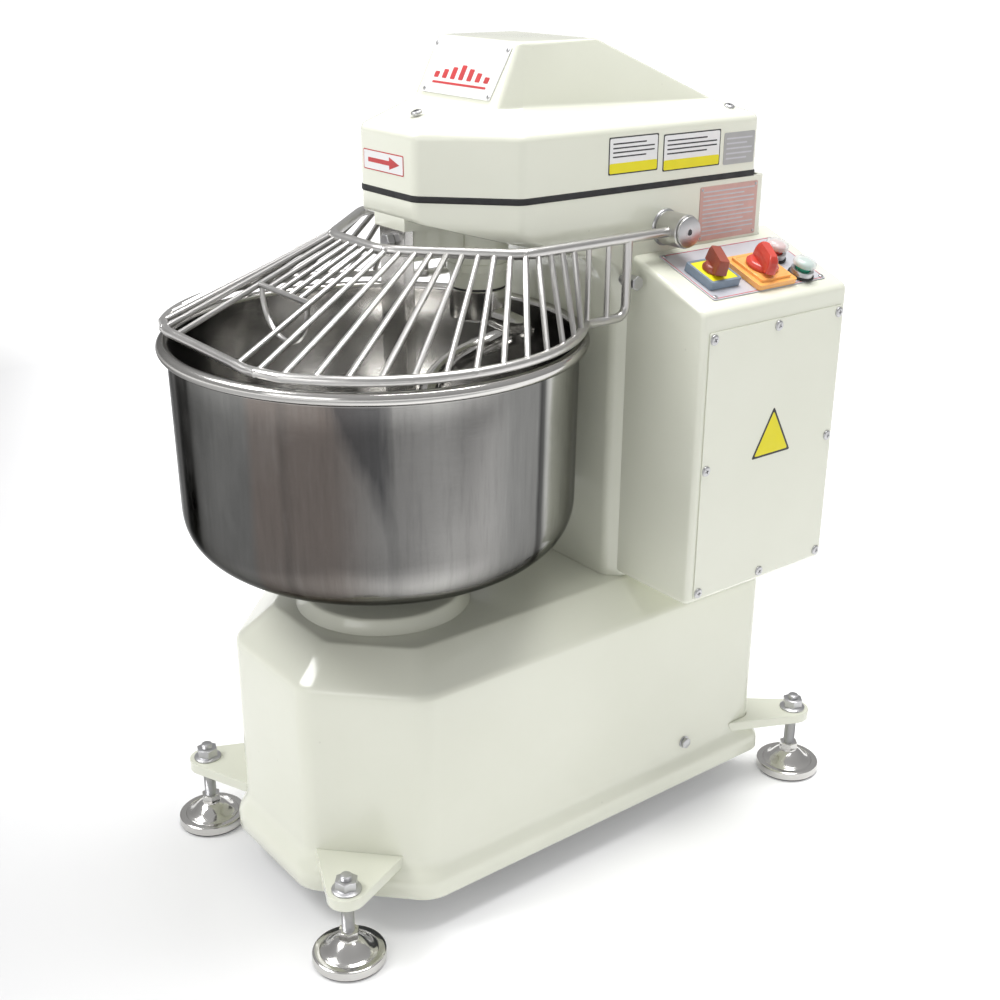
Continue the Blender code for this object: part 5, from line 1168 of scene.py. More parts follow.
def bowl_section(thickness):
    """The bowl's outside, or its inside at a wall's thickness from it, from the middle to under the rim."""
    power = 2 / BOWL_CURVE_POWER
    points = [(0, BOWL_BOTTOM_Z + thickness)]
    for step in range(BOWL_CURVE_STEPS + 1):
        share = step / BOWL_CURVE_STEPS
        angle = math.pi / 2 * (1 - share)
        radius = BOWL_FLAT_RADIUS + (BOWL_KNEE_RADIUS - BOWL_FLAT_RADIUS) * max(0.0, math.cos(angle)) ** power
        height = BOWL_KNEE_Z - (BOWL_KNEE_Z - BOWL_BOTTOM_Z) * math.sin(angle) ** power
        points.append((radius - thickness * share, height + thickness * (1 - share)))
    for share in (0.25, 0.5, 0.75):
        radius = BOWL_KNEE_RADIUS + (BOWL_WALL_RADIUS - BOWL_KNEE_RADIUS) * share
        points.append((radius - thickness, BOWL_KNEE_Z + (BOWL_RIM_Z - BOWL_BEAD - BOWL_KNEE_Z) * share))
    points.append((BOWL_WALL_RADIUS - thickness, BOWL_RIM_Z - BOWL_BEAD))
    return points


def build_bowl():
    bead = [point[:2] for point in arc_points((BOWL_RIM_RADIUS, BOWL_RIM_Z, 0), BOWL_BEAD, -120, 180, 24)]
    inner = bowl_section(BOWL_WALL)
    profile = bowl_section(0.0) + bead + [(BOWL_WALL_RADIUS - BOWL_WALL, BOWL_RIM_Z - 0.004)] + inner[-2::-1]
    piece("bowl_pan", turned_mesh(profile, 192), "bowl_stainless", "bowl", replaces=["bowl"], smooth=50)
    housing = [(BEARING_BORE, BEARING_BOTTOM), (BEARING_RADIUS, BEARING_BOTTOM)] + above(BASE_TOP, [
        (BEARING_RADIUS, GAP), (0.1065, GAP), (0.1055, 0.0015), (0.1035, 0.004), (0.1000, 0.0095),
        (0.0980, 0.0135), (0.0968, 0.0152), (0.0950, 0.0163), (0.0920, 0.0165), (BEARING_BORE, 0.0165),
    ])
    piece("bowl_boss", turned_mesh(housing, 128), "cream_enamel", replaces=["bowl_bearing_housing"])


# ---------------------------------------------------------------- tools in the bowl


def spiral_line(steps):
    """The middle of the spiral's bar, about the spiral's own axis."""
    points = []
    start = SPIRAL_HUB_BOTTOM + 0.012
    for step in range(steps + 1):
        share = step / steps
        swing = min(1.0, share / SPIRAL_SWING_SHARE)
        reach = SPIRAL_START_RADIUS
        reach += (SPIRAL_SWEEP_RADIUS - SPIRAL_START_RADIUS) * math.sin(swing * math.pi / 2) ** 1.2
        reach *= 1 - SPIRAL_TIP_TUCK * max(0.0, share - SPIRAL_TIP_SHARE) / (1 - SPIRAL_TIP_SHARE)
        angle = math.radians(SPIRAL_START_DEG + SPIRAL_TURN_DEG * share)
        height = start - (start - SPIRAL_LOW_Z) * (0.30 * share + 0.70 * share ** 1.15)
        points.append((reach * math.cos(angle), reach * math.sin(angle), height))
    return points


def build_spiral():
    place = (0, SPIRAL_Y, 0)
    radius, bottom, top, edge = SPIRAL_HUB_RADIUS, SPIRAL_HUB_BOTTOM, SPIRAL_HUB_TOP, SPIRAL_HUB_EDGE
    hub = [(0, bottom), (radius - edge, bottom)]
    for step in range(1, 6):
        angle = math.pi / 2 * step / 5
        hub.append((radius - edge + edge * math.sin(angle), bottom + edge * (1 - math.cos(angle))))
    hub += [(radius, top - 0.001), (radius - 0.001, top), (0, top)]
    hook = piece("hook", turned_mesh(hub), "polished_stainless", "spiral", replaces=["spiral_hook"],
                 location=place)
    joined_on(hook, [tube_mesh(spiral_line(110), SPIRAL_ROD_RADIUS, 8)])
    sleeve = [
        (0.0313, 0.7190), (0.0330, 0.7190), (0.0338, 0.7198), (0.0338, 0.7380), (0.0342, 0.7384),
        (0.0370, 0.7386), (0.0375, 0.7391), (0.0375, 0.7478), (0.0370, 0.7483), (0.0360, 0.7485),
        (0.0360, 0.8060), (0.0560, 0.8060), (0.0560, 0.8140), (0.0313, 0.8140),
    ]
    housing = turned_mesh(sleeve)
    piece("spiral_sleeve", housing, "cream_enamel", replaces=["spiral_bearing_housing"], location=place)


def build_breaker_bar():
    back = BAR_FRONT_Y + BAR_THICKNESS
    rings = []
    for height, left, right in (
        (BAR_BOTTOM, -0.009, BAR_HALF_WIDTH - 0.004), (BAR_BOTTOM + 0.010, -0.012, BAR_HALF_WIDTH - 0.001),
        (BAR_SHOULDER_Z, -BAR_HALF_WIDTH, BAR_HALF_WIDTH), (BAR_TOP, -BAR_HALF_WIDTH, BAR_HALF_WIDTH),
    ):
        rings.append(level(box_outline((left, BAR_FRONT_Y), (right, back), 0.0025), height))
    bar = piece("breaker", loft_mesh(rings), "brushed_stainless", replaces=["breaker_bar"])
    soften_edges(bar, 0.0012, 3, 50)


# ---------------------------------------------------------------- guard


def guard_rods():
    """The ends of the right-hand wires between the frame and the ring, from the feed opening to the back."""
    corners = [
        Vector((GUARD_FEED_TOP_X, GUARD_FRONT_Y)), Vector((GUARD_NOSE_HALF_WIDTH, GUARD_FRONT_Y)),
        Vector((GUARD_HALF_WIDTH, GUARD_CHAMFER_Y)), Vector((GUARD_HALF_WIDTH, GUARD_LAST_ROD_Y)),
    ]
    lengths = [(b - a).length for a, b in zip(corners, corners[1:])]
    pairs = []
    for index in range(GUARD_RODS + 1):
        along = sum(lengths) * index / GUARD_RODS
        for start, end, length in zip(corners, corners[1:], lengths):
            if along <= length + 1e-9:
                top = start.lerp(end, along / length)
                break
            along -= length
        if index == 0:
            foot = (GUARD_FEED_BOTTOM_X, GUARD_CHORD_Y, GUARD_RING_Z)
        else:
            angle = math.radians(GUARD_FIRST_ROD_DEG + GUARD_ROD_STEP_DEG * (index - 1))
            foot = (GUARD_RING_RADIUS * math.cos(angle), GUARD_RING_RADIUS * math.sin(angle), GUARD_RING_Z)
            if foot[1] < GUARD_CHORD_Y:
                foot = (foot[0], GUARD_CHORD_Y + 0.003, GUARD_RING_Z)
        pairs.append(((top.x, top.y, GUARD_HINGE_Z), foot))
    for place_y in GUARD_UPRIGHT_Y:
        pairs.append(((GUARD_HALF_WIDTH, place_y, GUARD_HINGE_Z), (GUARD_HALF_WIDTH, place_y, GUARD_RING_Z)))
    return pairs


def weld(point):
    """A small bead of weld metal round a joint."""
    builder = bmesh.new()
    place = Matrix.Translation(point)
    bmesh.ops.create_icosphere(builder, subdivisions=2, radius=GUARD_WELD_RADIUS, matrix=place)
    return builder


def guard_ring_mesh():
    """The uprights behind, the round of the ring and its straight front, as one bent wire."""
    side_angle = math.degrees(math.acos(GUARD_HALF_WIDTH / GUARD_RING_RADIUS))
    chord_angle = math.degrees(math.asin(GUARD_CHORD_Y / GUARD_RING_RADIUS))
    round_y = GUARD_RING_RADIUS * math.sin(math.radians(side_angle)) + 0.004
    line = softened([
        (GUARD_HALF_WIDTH, GUARD_REAR_Y, GUARD_HINGE_Z), (GUARD_HALF_WIDTH, GUARD_REAR_Y, GUARD_RING_Z),
        (GUARD_HALF_WIDTH, round_y, GUARD_RING_Z),
    ], GUARD_RING_BEND)
    line += arc_points((0, 0, GUARD_RING_Z), GUARD_RING_RADIUS, side_angle - 3, chord_angle + 7, 48)
    corner_x = GUARD_RING_RADIUS * math.cos(math.radians(chord_angle))
    line.append((corner_x - 0.004, GUARD_CHORD_Y + 0.004, GUARD_RING_Z))
    line.append((corner_x - 0.018, GUARD_CHORD_Y, GUARD_RING_Z))
    return tube_mesh(line + mirrored(reversed(line)), GUARD_RING_TUBE, 5)


def guard_feed_meshes(feed_top, feed_foot):
    """The short wires, the cross bar and the hanging loop over the feed opening."""
    bar_end = Vector(feed_top).lerp(Vector(feed_foot), GUARD_FEED_BAR_SHARE)
    parts = [tube_mesh([tuple(bar_end), (-bar_end.x, bar_end.y, bar_end.z)], GUARD_ROD_RADIUS, 3)]
    for index in range(GUARD_FEED_RODS):
        share = (index - 1.5) / 2.5
        top = (GUARD_FEED_TOP_X * share, GUARD_FRONT_Y, GUARD_HINGE_Z)
        parts.append(tube_mesh([top, (bar_end.x * share, bar_end.y, bar_end.z)], GUARD_ROD_RADIUS, 3))
    loop = []
    for step in range(37):
        angle = math.pi * step / 36
        fall = GUARD_LOOP_DEPTH * max(0.0, math.sin(angle)) ** 0.8
        loop.append(((bar_end.x - 0.005) * math.cos(angle), bar_end.y, bar_end.z - fall))
    return parts + [tube_mesh(loop, GUARD_ROD_RADIUS * 0.9, 3)]


def build_guard():
    right = [
        (GUARD_HALF_WIDTH, GUARD_HINGE_Y, GUARD_HINGE_Z), (GUARD_HALF_WIDTH, GUARD_CHAMFER_Y, GUARD_HINGE_Z),
        (GUARD_NOSE_HALF_WIDTH, GUARD_FRONT_Y, GUARD_HINGE_Z),
    ]
    frame_line = softened(right + mirrored(reversed(right)), GUARD_TUBE_BEND)
    cage = piece("guard_wires", tube_mesh(frame_line, GUARD_TUBE_RADIUS, 5), "satin_stainless", "guard",
                 replaces=["guard_cage"], smooth=40)
    parts = [guard_ring_mesh()]
    pairs = guard_rods()
    for pair in pairs:
        for ends in (list(pair), mirrored(pair)):
            parts += [tube_mesh(ends, GUARD_ROD_RADIUS, 3), weld(ends[0]), weld(ends[1])]
    parts += guard_feed_meshes(*pairs[0])
    middle = (GUARD_BOSS_INNER_X + GUARD_BOSS_OUTER_X) / 2
    half = (GUARD_BOSS_OUTER_X - GUARD_BOSS_INNER_X) / 2
    rim, edge = GUARD_BOSS_RADIUS, GUARD_BOSS_EDGE
    boss = [
        (0, -half), (rim - edge, -half), (rim, edge - half), (rim, half - edge), (rim - edge, half),
        (0, half),
    ]
    bores = []
    for side, _ in SIDES:
        place = Matrix.Translation((side * middle, GUARD_HINGE_Y, GUARD_HINGE_Z))
        turn = place @ Matrix.Rotation(math.pi / 2, 4, "Y")
        parts.append(moved_mesh(turned_mesh(boss, 72), turn))
        bores.append(moved_mesh(rod_mesh(GUARD_PIN_RADIUS + 0.0005, -0.03, 0.03, 48), turn))
    joined_on(cage, parts)
    cut(cage, bores)


# ---------------------------------------------------------------- electrical box


def facing_right(x):
    """Stands a flat shape drawn in (y, z) on a wall that faces +X."""
    return Matrix(((0, 0, 1, x), (1, 0, 0, 0), (0, 1, 0, 0), (0, 0, 0, 1)))


def box_rings(low_x, wall):
    slope = (BOX_TOP_OUTER - BOX_TOP_INNER) / (BOX_OUTER_X - HEAD_HALF_WIDTH)
    drop = wall / math.cos(PANEL_ANGLE)
    outer = BOX_OUTER_X - wall

    def top_at(x):
        return BOX_TOP_INNER + slope * (x - HEAD_HALF_WIDTH) - drop

    bottom = BOX_BOTTOM + wall
    section = [(low_x, bottom), (outer, bottom), (outer, top_at(outer)), (low_x, top_at(low_x))]
    radius = BOX_END_RADIUS - wall * 0.5
    turns = [math.pi / 2 * step / 6 for step in range(7)]
    bends = [(radius * (1 - math.sin(turn)), radius * (1 - math.cos(turn))) for turn in turns]
    front = [(BOX_FRONT_Y + wall + reach, shrink) for reach, shrink in reversed(bends)]
    back = [(BOX_REAR_Y - wall - reach, shrink) for reach, shrink in bends]
    rings = []
    for place_y, shrink in front + back:
        corners = inset(section, [shrink, shrink, shrink, 0.0])
        radii = [0.0005, max(0.001, 0.008 - shrink * 0.5), max(0.001, 0.011 - shrink * 0.5), 0.0005]
        rings.append([(x, place_y, z) for x, z in rounded(corners, radii, 8)])
    return rings


def build_box():
    outside = loft_mesh(box_rings(BOX_INNER_X, 0.0))
    shell = piece("box_housing", outside, "cream_enamel", replaces=["box_shell"])
    column = [level(head_outline(y, GAP, HEAD_CORNER, steps=6), height) for height, y in throat_levels(8)]
    opening = block_mesh(
        (BOX_OUTER_X - 0.01, BOX_OPENING_Y[0], BOX_OPENING_Z[0]),
        (BOX_OUTER_X + 0.01, BOX_OPENING_Y[1], BOX_OPENING_Z[1]),
    )
    cut(shell, [loft_mesh(column), opening])
    cut(shell, [loft_mesh(box_rings(HEAD_HALF_WIDTH + GAP + BOX_WALL, BOX_WALL))])
    plate = slab_mesh(box_outline(COVER_PLATE_LOW, COVER_PLATE_HIGH, 0.002, 5), 0, COVER_PLATE_THICKNESS)
    plate = moved_mesh(plate, facing_right(BOX_OUTER_X + GAP))
    soften_edges(piece("box_door", plate, "cream_enamel", replaces=["box_cover"]), 0.0006)
    for row in range(3):
        for column_index in range(3):
            if row == 1 and column_index == 1:
                continue
            place = (
                COVER_PLATE_FACE, DOOR_SCREW_START[0] + DOOR_SCREW_PITCH[0] * column_index,
                DOOR_SCREW_START[1] + DOOR_SCREW_PITCH[1] * row,
            )
            name = f"box_door_screw_{row}_{column_index}"
            build_screw(name, DOOR_SCREW, place, (0, math.pi / 2, 0), 0.3 * row + 0.5 * column_index)


# ---------------------------------------------------------------- controls on the sloping panel


def at(place, turn=0.0):
    return Matrix.Translation(Vector(place).to_3d()) @ Matrix.Rotation(turn, 4, "Z")


def panel_piece(name, place, builder, material, **settings):
    """A piece at a place in the panel's own frame: X down the slope, Y back, Z out."""
    moved = moved_mesh(builder, at(place))
    return piece(name, moved, material, location=PANEL_CORNER, rotation=(0, PANEL_ANGLE, 0), **settings)


PANEL_HOLES = (
    (MAIN_SWITCH_AT, SWITCH_HOLE_RADIUS), (SPEED_SWITCH_AT, SWITCH_HOLE_RADIUS),
    (START_BUTTON_AT, BUTTON_HOLE_RADIUS), (STOP_BUTTON_AT, BUTTON_HOLE_RADIUS), (LAMP_AT, LAMP_HOLE_RADIUS),
)


def hole_meshes():
    return [moved_mesh(rod_mesh(radius, -0.02, 0.02, 48), at(place)) for place, radius in PANEL_HOLES]


def panel_slab(edge, radius, bottom, top):
    """The panel's own rectangle, drawn in by an edge."""
    low = (PANEL_LOW[0] + edge, PANEL_LOW[1] + edge)
    high = (PANEL_HIGH[0] - edge, PANEL_HIGH[1] - edge)
    return slab_mesh(box_outline(low, high, radius), bottom, top)


def build_panel():
    sheet = panel_slab(0, 0.003, GAP, PANEL_TOP)
    plate = panel_piece("panel_plate", (0, 0), sheet, "panel_silver", replaces=["control_panel"])
    cut(plate, hole_meshes())
    soften_edges(plate, 0.0003, 2)
    slope = Matrix.Translation(PANEL_CORNER) @ Matrix.Rotation(PANEL_ANGLE, 4, "Y")
    cut(bpy.data.objects["box_housing"], [moved_mesh(hole, slope) for hole in hole_meshes()])
    line = panel_slab(0.0016, 0.0025, PANEL_TOP, PANEL_TOP + 0.00018)
    border = panel_piece("panel_border", (0, 0), line, "red_print")
    cut(border, [panel_slab(0.0016 + 0.0009, 0.002, PANEL_TOP - 0.001, PANEL_TOP + 0.001)])
    for row, u in enumerate(PANEL_SCREW_U):
        for column, v in enumerate(PANEL_SCREW_V):
            place = (u, v, PANEL_TOP)
            name = f"panel_screw_{row}_{column}"
            head = panel_piece(name, place, screw_mesh(*PANEL_SCREW), "machined_steel")
            cross = cross_meshes(0.0018, 0.0004, (0.0008, 0.0007), (0.004, 0.0041))
            cut(head, [moved_mesh(bar, at(place, 0.6)) for bar in cross])


def switch_body():
    """The round neck and square body under a switch's front plate."""
    neck = rod_mesh(0.0102, -0.018, SURFACE + 0.002, 40)
    return merged([neck, plate_mesh(0.020, 0.020, 0.002, -0.050, -0.010)])


def lever_mesh(levels, place, taper, radii, steps):
    """A switch's lever from its width, back and front at each height, narrowed towards its front."""
    rings = []
    for height, wide, back, front in levels:
        corners = [(-wide, back), (wide, back), (wide * taper, front), (-wide * taper, front)]
        rings.append(level(rounded(corners, radii(wide), steps), SWITCH_PLATE_TOP + GAP + height))
    return moved_mesh(loft_mesh(rings), at(place, SWITCH_LEVER_TURN))


def build_main_switch():
    place, top = MAIN_SWITCH_AT, SWITCH_PLATE_TOP
    base = merged([plate_mesh(0.024, 0.024, 0.003, SURFACE, top), switch_body()])
    plate = panel_piece("main_switch_plate", place, base, "grey_plastic", replaces=["main_switch_base"])
    cut(plate, [moved_mesh(plate_mesh(0.0205, 0.0205, 0.0015, top - 0.0010, top + 0.01), at(place))])
    soften_edges(plate, 0.0008)
    face = plate_mesh(0.0202, 0.0202, 0.0014, top - 0.0010, top - 0.0002)
    soften_edges(panel_piece("main_switch_face", place, face, "yellow_label"), 0.0002, 2)
    skirt = above(top + GAP, [
        (0, 0), (0.0146, 0), (0.0149, 0.0006), (0.0148, 0.0022), (0.0130, 0.0052), (0.0124, 0.0062),
        (0.0110, 0.0070), (0, 0.0070),
    ])
    knob = panel_piece("main_switch_lever", place, turned_mesh(skirt, 72), "brown_plastic",
                       body="main_switch_knob", replaces=["main_switch_knob"])
    levels = (
        (0.004, 0.0074, -0.0192, 0.0210), (0.017, 0.0068, -0.0182, 0.0208), (0.022, 0.0060, -0.0160, 0.0200),
    )
    joined_on(knob, [lever_mesh(levels, place, 1.0, lambda wide: 0.0022, 6)])
    soften_edges(knob, 0.0009, 3, 40)


def build_speed_switch():
    place, step, top = SPEED_SWITCH_AT, SURFACE + 0.0065, SWITCH_PLATE_TOP
    base = merged([plate_mesh(0.0325, 0.0325, 0.004, SURFACE, step), switch_body()])
    plate = panel_piece("speed_switch_plate", place, base, "amber_plastic", replaces=["speed_switch_base"])
    joined_on(plate, [moved_mesh(plate_mesh(0.0270, 0.0255, 0.003, step - 0.002, top), at(place))])
    cut(plate, [moved_mesh(plate_mesh(0.0235, 0.0220, 0.002, top - 0.0006, top + 0.01), at(place))])
    soften_edges(plate, 0.0009)
    face = plate_mesh(0.0232, 0.0217, 0.002, top - 0.0006, top - 0.0001)
    panel_piece("speed_switch_face", place, face, "amber_plastic")
    skirt = above(top + GAP, [
        (0, 0), (0.0196, 0), (0.0201, 0.0008), (0.0200, 0.0030), (0.0172, 0.0060), (0.0160, 0.0066),
        (0, 0.0070),
    ])
    knob = panel_piece("speed_switch_lever", place, turned_mesh(skirt, 84), "red_plastic",
                       body="speed_switch_knob", replaces=["speed_switch_knob"])
    levels = (
        (0.004, 0.0098, -0.0215, 0.0286), (0.014, 0.0090, -0.0205, 0.0282), (0.020, 0.0080, -0.0180, 0.0262),
        (0.024, 0.0058, -0.0140, 0.0215),
    )
    joined_on(knob, [lever_mesh(levels, place, 0.72, lambda wide: [wide * 0.92] * 2 + [wide * 0.5] * 2, 8)])
    soften_edges(knob, 0.0012, 4, 40)


def build_push_button(name, place, core_material, cap_slot):
    """A steel collar with a rubber ring, and a coloured cap under a clear dome."""
    shaft = BUTTON_HOLE_RADIUS - GAP
    collar = [(0, -0.032), (shaft, -0.032)] + above(SURFACE, [
        (shaft, 0), (0.0133, 0), (0.0140, 0.0007), (0.0140, 0.0082), (0.0136, 0.0088), (0.0128, 0.0090),
        (0.0102, 0.0090), (0.0098, 0.0086), (0.0098, 0.001), (0, 0.001),
    ])
    bezel = turned_mesh(collar, 72)
    panel_piece(f"{name}_bezel", place, bezel, "machined_steel", replaces=[f"{name}_collar"])
    ring = above(SURFACE, [
        (0.0141, 0), (0.0158, 0), (0.0162, 0.0006), (0.0160, 0.0022), (0.0150, 0.0028), (0.0141, 0.0028),
    ])
    panel_piece(f"{name}_ring", place, turned_mesh(ring, 72), "black_rubber")
    core = above(SURFACE, [
        (0, 0.0071), (0.0091, 0.0071), (0.0091, 0.0130), (0.0108, 0.0136), (0.0108, 0.0172), (0.0098, 0.0180),
        (0, 0.0182),
    ])
    panel_piece(f"{name}_core", place, turned_mesh(core, 72), core_material, body=name)
    dome = above(SURFACE, [(0.0110, 0.0134), (0.0142, 0.0142), (0.0148, 0.0148)])
    dome += dome_profile(0.0148, SURFACE + 0.0168, 0.0066, 0.7)
    dome += above(SURFACE, [
        (0, 0.0222), (0.0090, 0.0212), (0.0128, 0.0188), (0.0134, 0.0160), (0.0110, 0.0150),
    ])
    panel_piece(f"{name}_dome", place, turned_mesh(dome, 72), "clear_plastic", body=name, slot=cap_slot,
                replaces=[f"{name}_cap"])


def build_lamp():
    barrel = [(0, -0.024), (0.0052, -0.024)] + above(SURFACE, [
        (0.0052, 0), (0.0073, 0), (0.0077, 0.0005), (0.0076, 0.0028), (0.0070, 0.0034), (0.0062, 0.0034),
        (0, 0.0034),
    ])
    panel_piece("lamp_barrel", LAMP_AT, turned_mesh(barrel, 48), "machined_steel")
    lens = above(SURFACE, [(0, 0.0036), (0.0062, 0.0036)]) + dome_profile(0.0062, SURFACE + 0.0072, 0.0058)
    panel_piece("lamp_lens", LAMP_AT, turned_mesh(lens, 24), "green_plastic", replaces=["power_lamp"],
                smooth=20)


# ---------------------------------------------------------------- hinge pins, stops and the bar's fixing


def build_fixings():
    start = HEAD_HALF_WIDTH + GAP
    length = GUARD_BOSS_OUTER_X + 0.0005 - start
    profile = [
        (0, 0), (0.0212, 0), (0.0215, 0.0003), (0.0207, 0.0021), (0.0200, 0.0025), (GUARD_PIN_RADIUS, 0.0027),
    ] + above(length, [
        (GUARD_PIN_RADIUS, 0), (0.0176, 0), (0.0180, 0.0004), (0.0180, 0.0022), (0.0176, 0.0030),
        (0.0165, 0.0035), (0, 0.0035),
    ])
    for side, side_name in SIDES:
        turn = (0, side * math.pi / 2, 0)
        hinge = (side * start, GUARD_HINGE_Y, GUARD_HINGE_Z)
        pin = piece(f"hinge_pin_{side_name}", turned_mesh(profile, 72), "machined_steel",
                    replaces=[f"guard_pin_{side_name}"], location=hinge, rotation=turn)
        cut(pin, [hexagon_mesh(0.007, length - 0.002, length + 0.02, 0.0001)])
        rest = (side * start, *GUARD_REST_AT)
        stud = piece(f"guard_rest_{side_name}", hexagon_mesh(0.015, 0.006, 0.0285, 0.0010), "machined_steel",
                     replaces=[f"guard_stop_{side_name}"], location=rest, rotation=turn)
        joined_on(stud, [rod_mesh(0.005, 0, 0.010, 40)])
        soften_edges(stud, 0.0003, 2)
    bolt = piece("bar_bolt", hexagon_mesh(0.016, 0, 0.009, 0.0010), "machined_steel",
                 replaces=["breaker_bolt"], location=(0, BAR_FRONT_Y - GAP, BAR_BOLT_Z),
                 rotation=(math.pi / 2, 0, 0))
    joined_on(bolt, [rod_mesh(BAR_BOLT_RADIUS, -0.040, 0.004, 40)])
    soften_edges(bolt, 0.0003, 2)
    soften_edges(NODES["breaker_bracket"], 0.0008)
    soften_edges(piece("head_rib", block_mesh(RIB_LOW, RIB_HIGH), "cream_enamel"), 0.0015)


# ---------------------------------------------------------------- plates and stickers

WALL_X = HEAD_HALF_WIDTH + 0.0001
PLATE = 0.0006
STICKER = 0.0002
PRINT = 0.0001
STICKER_FACE = WALL_X + 0.0003


def side_label(name, low, high, x, thickness, material, radius=0.002):
    """A thin plate on a wall that faces +X, with its corners given as (y, z)."""
    slab = slab_mesh(box_outline(low, high, radius), 0, thickness)
    piece(name, moved_mesh(slab, facing_right(x)), material)


def side_lines(name, low, high, x, rows, material):
    """Plain ruled lines across a label; every third one is shorter."""
    pitch = (high[1] - low[1]) / rows
    lines = []
    for row in range(rows):
        z = low[1] + pitch * (row + 0.5)
        end = high[0] - (0.0 if row % 3 else 0.2 * (high[0] - low[0]))
        outline = box_outline((low[0], z - pitch * 0.16), (end, z + pitch * 0.16), pitch * 0.1, 2)
        lines.append(slab_mesh(outline, 0, PRINT))
    piece(name, moved_mesh(merged(lines), facing_right(x)), material)


def build_labels():
    side_label("data_plate", (0.372, 0.764), (0.470, 0.828), WALL_X, PLATE, "pink_plate")
    side_lines("data_plate_lines", (0.377, 0.768), (0.465, 0.824), WALL_X + PLATE, 11, "panel_silver")
    for index, (y, z) in enumerate(((0.3755, 0.7675), (0.4665, 0.7675), (0.3755, 0.8245), (0.4665, 0.8245))):
        build_screw(f"data_plate_rivet_{index}", RIVET, (WALL_X + PLATE, y, z), (0, math.pi / 2, 0))
    for end, low, high in (("a", (0.225, 0.8550), (0.300, 0.8960)), ("b", (0.308, 0.8520), (0.4005, 0.8935))):
        side_label(f"sticker_{end}", low, high, WALL_X, STICKER, "black_print", 0.0015)
        field_low, field_high = (low[0] + 0.0014, low[1] + 0.0014), (high[0] - 0.0014, high[1] - 0.0014)
        side_label(f"sticker_{end}_field", field_low, field_high, WALL_X + STICKER, PRINT, "sign_white")
        band_high = (field_high[0], low[1] + 0.0125)
        side_label(f"sticker_{end}_band", field_low, band_high, STICKER_FACE, PRINT, "yellow_label")
        lines_low, lines_high = (low[0] + 0.006, low[1] + 0.017), (high[0] - 0.006, high[1] - 0.005)
        side_lines(f"sticker_{end}_lines", lines_low, lines_high, STICKER_FACE, 4, "black_print")
    side_label("sticker_c", (0.407, 0.851), (0.459, 0.888), WALL_X, 0.0003, "grey_label")
    side_lines("sticker_c_lines", (0.411, 0.855), (0.455, 0.884), STICKER_FACE, 5, "panel_silver")
    build_warning_triangle()
    build_turn_arrow()


def build_warning_triangle():
    """A plain bordered triangle on the box's cover, with no sign in it."""
    for name, shrink, thickness, rise, material in (
        ("border", 0.0, 0.0003, 0.0, "black_print"), ("field", 0.0027, 0.0001, 0.0003, "yellow_label"),
    ):
        corners = inset([(0.361, 0.5240), (0.4284, 0.5240), (0.3947, 0.5846)], shrink)
        slab = slab_mesh(rounded(corners, 0.0015, 6), 0, thickness)
        piece(f"triangle_{name}", moved_mesh(slab, facing_right(COVER_PLATE_FACE + rise)), material)


def build_turn_arrow():
    """A plain arrow on the head's front that shows which way the bowl turns."""
    outline = [
        (-0.030, -0.0025), (0.012, -0.0025), (0.012, -0.0068), (0.032, 0), (0.012, 0.0068), (0.012, 0.0025),
        (-0.030, 0.0025),
    ]
    for name, builder, material in (
        ("border", plate_mesh(0.0395, 0.011, 0.0015, 0, 0.0002), "red_print"),
        ("field", plate_mesh(0.0383, 0.0098, 0.001, 0.0002, 0.0003), "sign_white"),
        ("mark", slab_mesh(outline, 0.0003, 0.0004), "red_print"),
    ):
        piece(f"arrow_{name}", builder, material, location=(-0.0055, HEAD_FRONT_Y - 0.0002, 0.870),
              rotation=(math.pi / 2, 0, 0))


for node_name, node in NODES.items():
    slot_name = next(s["material_slot"] for s in frame["record"]["subparts"] if s["node"] == node_name)
    node.data.materials.clear()
    node.data.materials.append(MATERIALS[slot_name])

build_base()
build_corners()
build_column()
build_cover()
build_sign()
build_bowl()
build_spiral()
build_breaker_bar()
build_guard()
build_box()
build_panel()
build_main_switch()
build_speed_switch()
build_push_button("start_button", START_BUTTON_AT, "green_plastic", "clear_plastic")
build_push_button("stop_button", STOP_BUTTON_AT, "red_plastic", "red_plastic")
build_lamp()
build_fixings()
build_labels()

# ---------------------------------------------------------------- floor, lights and camera

FLOOR_HALF_SIZE = 60.0
FLOOR_FORWARD = (-0.332, -0.943)
FLOOR_ASIDE = (0.784, -0.621)
# colour of the floor's painted shade
FLOOR_DIM = (0.46, 0.46, 0.465)
# light on the world's sky by height, from below to overhead
SKY_TONES = ((0.30, 0.44), (0.55, 0.50), (1.0, 0.62))
SKY_STRENGTH = 0.90
# name, place, target, size, power
LIGHTS = (
    ("key", (-1.4, -2.2, 3.4), (0.0, 0.1, 0.5), (1.8, 1.4), 74),
    ("fill", (1.0, -2.9, 1.5), (0.1, 0.2, 0.5), (1.8, 1.2), 14),
    ("top", (0.1, 0.5, 3.4), (0.0, 0.2, 0.6), (1.6, 1.6), 88),
)
CAMERA_PLACE = (1.2980, -0.8217, 1.1005)
CAMERA_AZIMUTH_DEG = 51.624
CAMERA_ELEVATION_DEG = 22.627
CAMERA_ROLL_DEG = 0.570
CAMERA_SENSOR_MM = 36.0
CAMERA_LENS_MM = 49.777
CAMERA_SHIFT = (-0.01598, 0.01180)


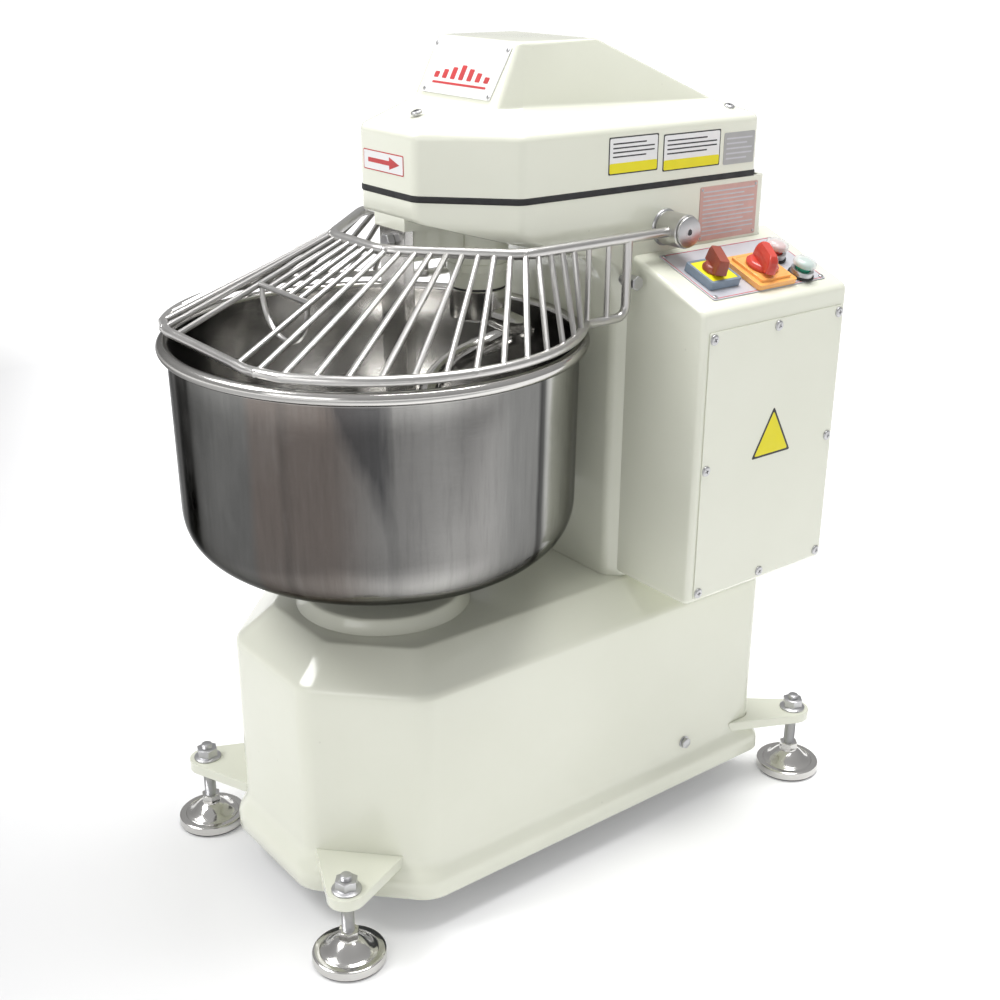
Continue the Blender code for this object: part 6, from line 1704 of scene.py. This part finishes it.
def build_floor():
    """A plain pale floor that reaches past the horizon, with painted shade towards its front left and painted light
    that glows more with distance.
    """
    builder = bmesh.new()
    bmesh.ops.create_grid(builder, x_segments=2, y_segments=2, size=FLOOR_HALF_SIZE)
    floor = mesh_object("floor", builder)
    n = Nodes("floor")
    n.into("Roughness", n.spread(n.noise(9.0), 0.75, 0.9))
    n.into("Emission Color", (1.0, 1.0, 1.0))
    x, y, _ = n.split()
    reach = n.reach(x, y)
    near = n.spread(reach, 1.0, 0.0, 2.4, 3.6)
    forward = n.spread(n.along(x, y, FLOOR_FORWARD), 0.0, 1.0, 0.15, 0.95)
    aside = n.spread(n.along(x, y, FLOOR_ASIDE), 0.0, 1.0, 0.55, 1.25)
    # painted shade on the floor, along two level directions and fading out past about three metres
    dim = n.math("MULTIPLY", n.math("MAXIMUM", forward, aside), near)
    pale = n.mix(n.spread(n.noise(2.0), 0.0, 1.0), (0.96, 0.96, 0.96), (0.94, 0.94, 0.945))
    n.into("Base Color", n.mix(dim, pale, FLOOR_DIM))
    # painted light: the floor glows more the further it lies from the middle, and not where its painted shade is
    glow = n.spread(reach, 0.20, 0.66, 1.0, 3.2)
    n.into("Emission Strength", n.math("MULTIPLY", glow, n.math("SUBTRACT", 1.0, dim)))
    floor.data.materials.append(n.material)


def grey(tone):
    return (tone, tone, tone, 1.0)


def build_sky():
    """A soft grey room that is lighter overhead."""
    world = bpy.data.worlds.new("studio")
    bpy.context.scene.world = world
    world.use_nodes = True
    tree = world.node_tree
    backdrop = tree.nodes["Background"]
    parts = tree.nodes.new("ShaderNodeSeparateXYZ")
    tree.links.new(tree.nodes.new("ShaderNodeTexCoord").outputs["Generated"], parts.inputs[0])
    ramp = tree.nodes.new("ShaderNodeValToRGB")
    stops = ramp.color_ramp.elements
    (low, low_tone), (middle, middle_tone), (high, high_tone) = SKY_TONES
    stops[0].position = low
    stops[0].color = grey(low_tone)
    stops[1].position = high
    stops[1].color = grey(high_tone)
    stops.new(middle).color = grey(middle_tone)
    tree.links.new(parts.outputs["Z"], ramp.inputs["Fac"])
    tree.links.new(ramp.outputs["Color"], backdrop.inputs["Color"])
    backdrop.inputs["Strength"].default_value = SKY_STRENGTH


def area_light(name, location, target, size, power):
    data = bpy.data.lights.new(name, "AREA")
    data.shape = "RECTANGLE"
    data.size, data.size_y = size
    data.energy = power
    made = bpy.data.objects.new(name, data)
    made.location = location
    made.rotation_euler = (Vector(location) - Vector(target)).to_track_quat("Z", "Y").to_euler()
    bpy.context.scene.collection.objects.link(made)


def build_camera():
    azimuth, elevation = math.radians(CAMERA_AZIMUTH_DEG), math.radians(CAMERA_ELEVATION_DEG)
    roll = math.radians(CAMERA_ROLL_DEG)
    back = Vector((
        math.sin(azimuth) * math.cos(elevation), -math.cos(azimuth) * math.cos(elevation),
        math.sin(elevation),
    ))
    flat = Vector((math.cos(azimuth), math.sin(azimuth), 0))
    up = back.cross(flat)
    right = flat * math.cos(roll) + up * math.sin(roll)
    top = up * math.cos(roll) - flat * math.sin(roll)
    data = bpy.data.cameras.new("camera")
    data.sensor_width = CAMERA_SENSOR_MM
    data.lens = CAMERA_LENS_MM
    data.shift_x, data.shift_y = CAMERA_SHIFT
    made = bpy.data.objects.new("camera", data)
    turn = Matrix((right, top, back)).transposed().to_4x4()
    made.matrix_world = Matrix.Translation(ORIGIN + Vector(CAMERA_PLACE)) @ turn
    bpy.context.scene.collection.objects.link(made)
    bpy.context.scene.camera = made


build_floor()
build_sky()
for light in LIGHTS:
    area_light(*light)
build_camera()
bpy.context.scene.view_settings.view_transform = "Standard"
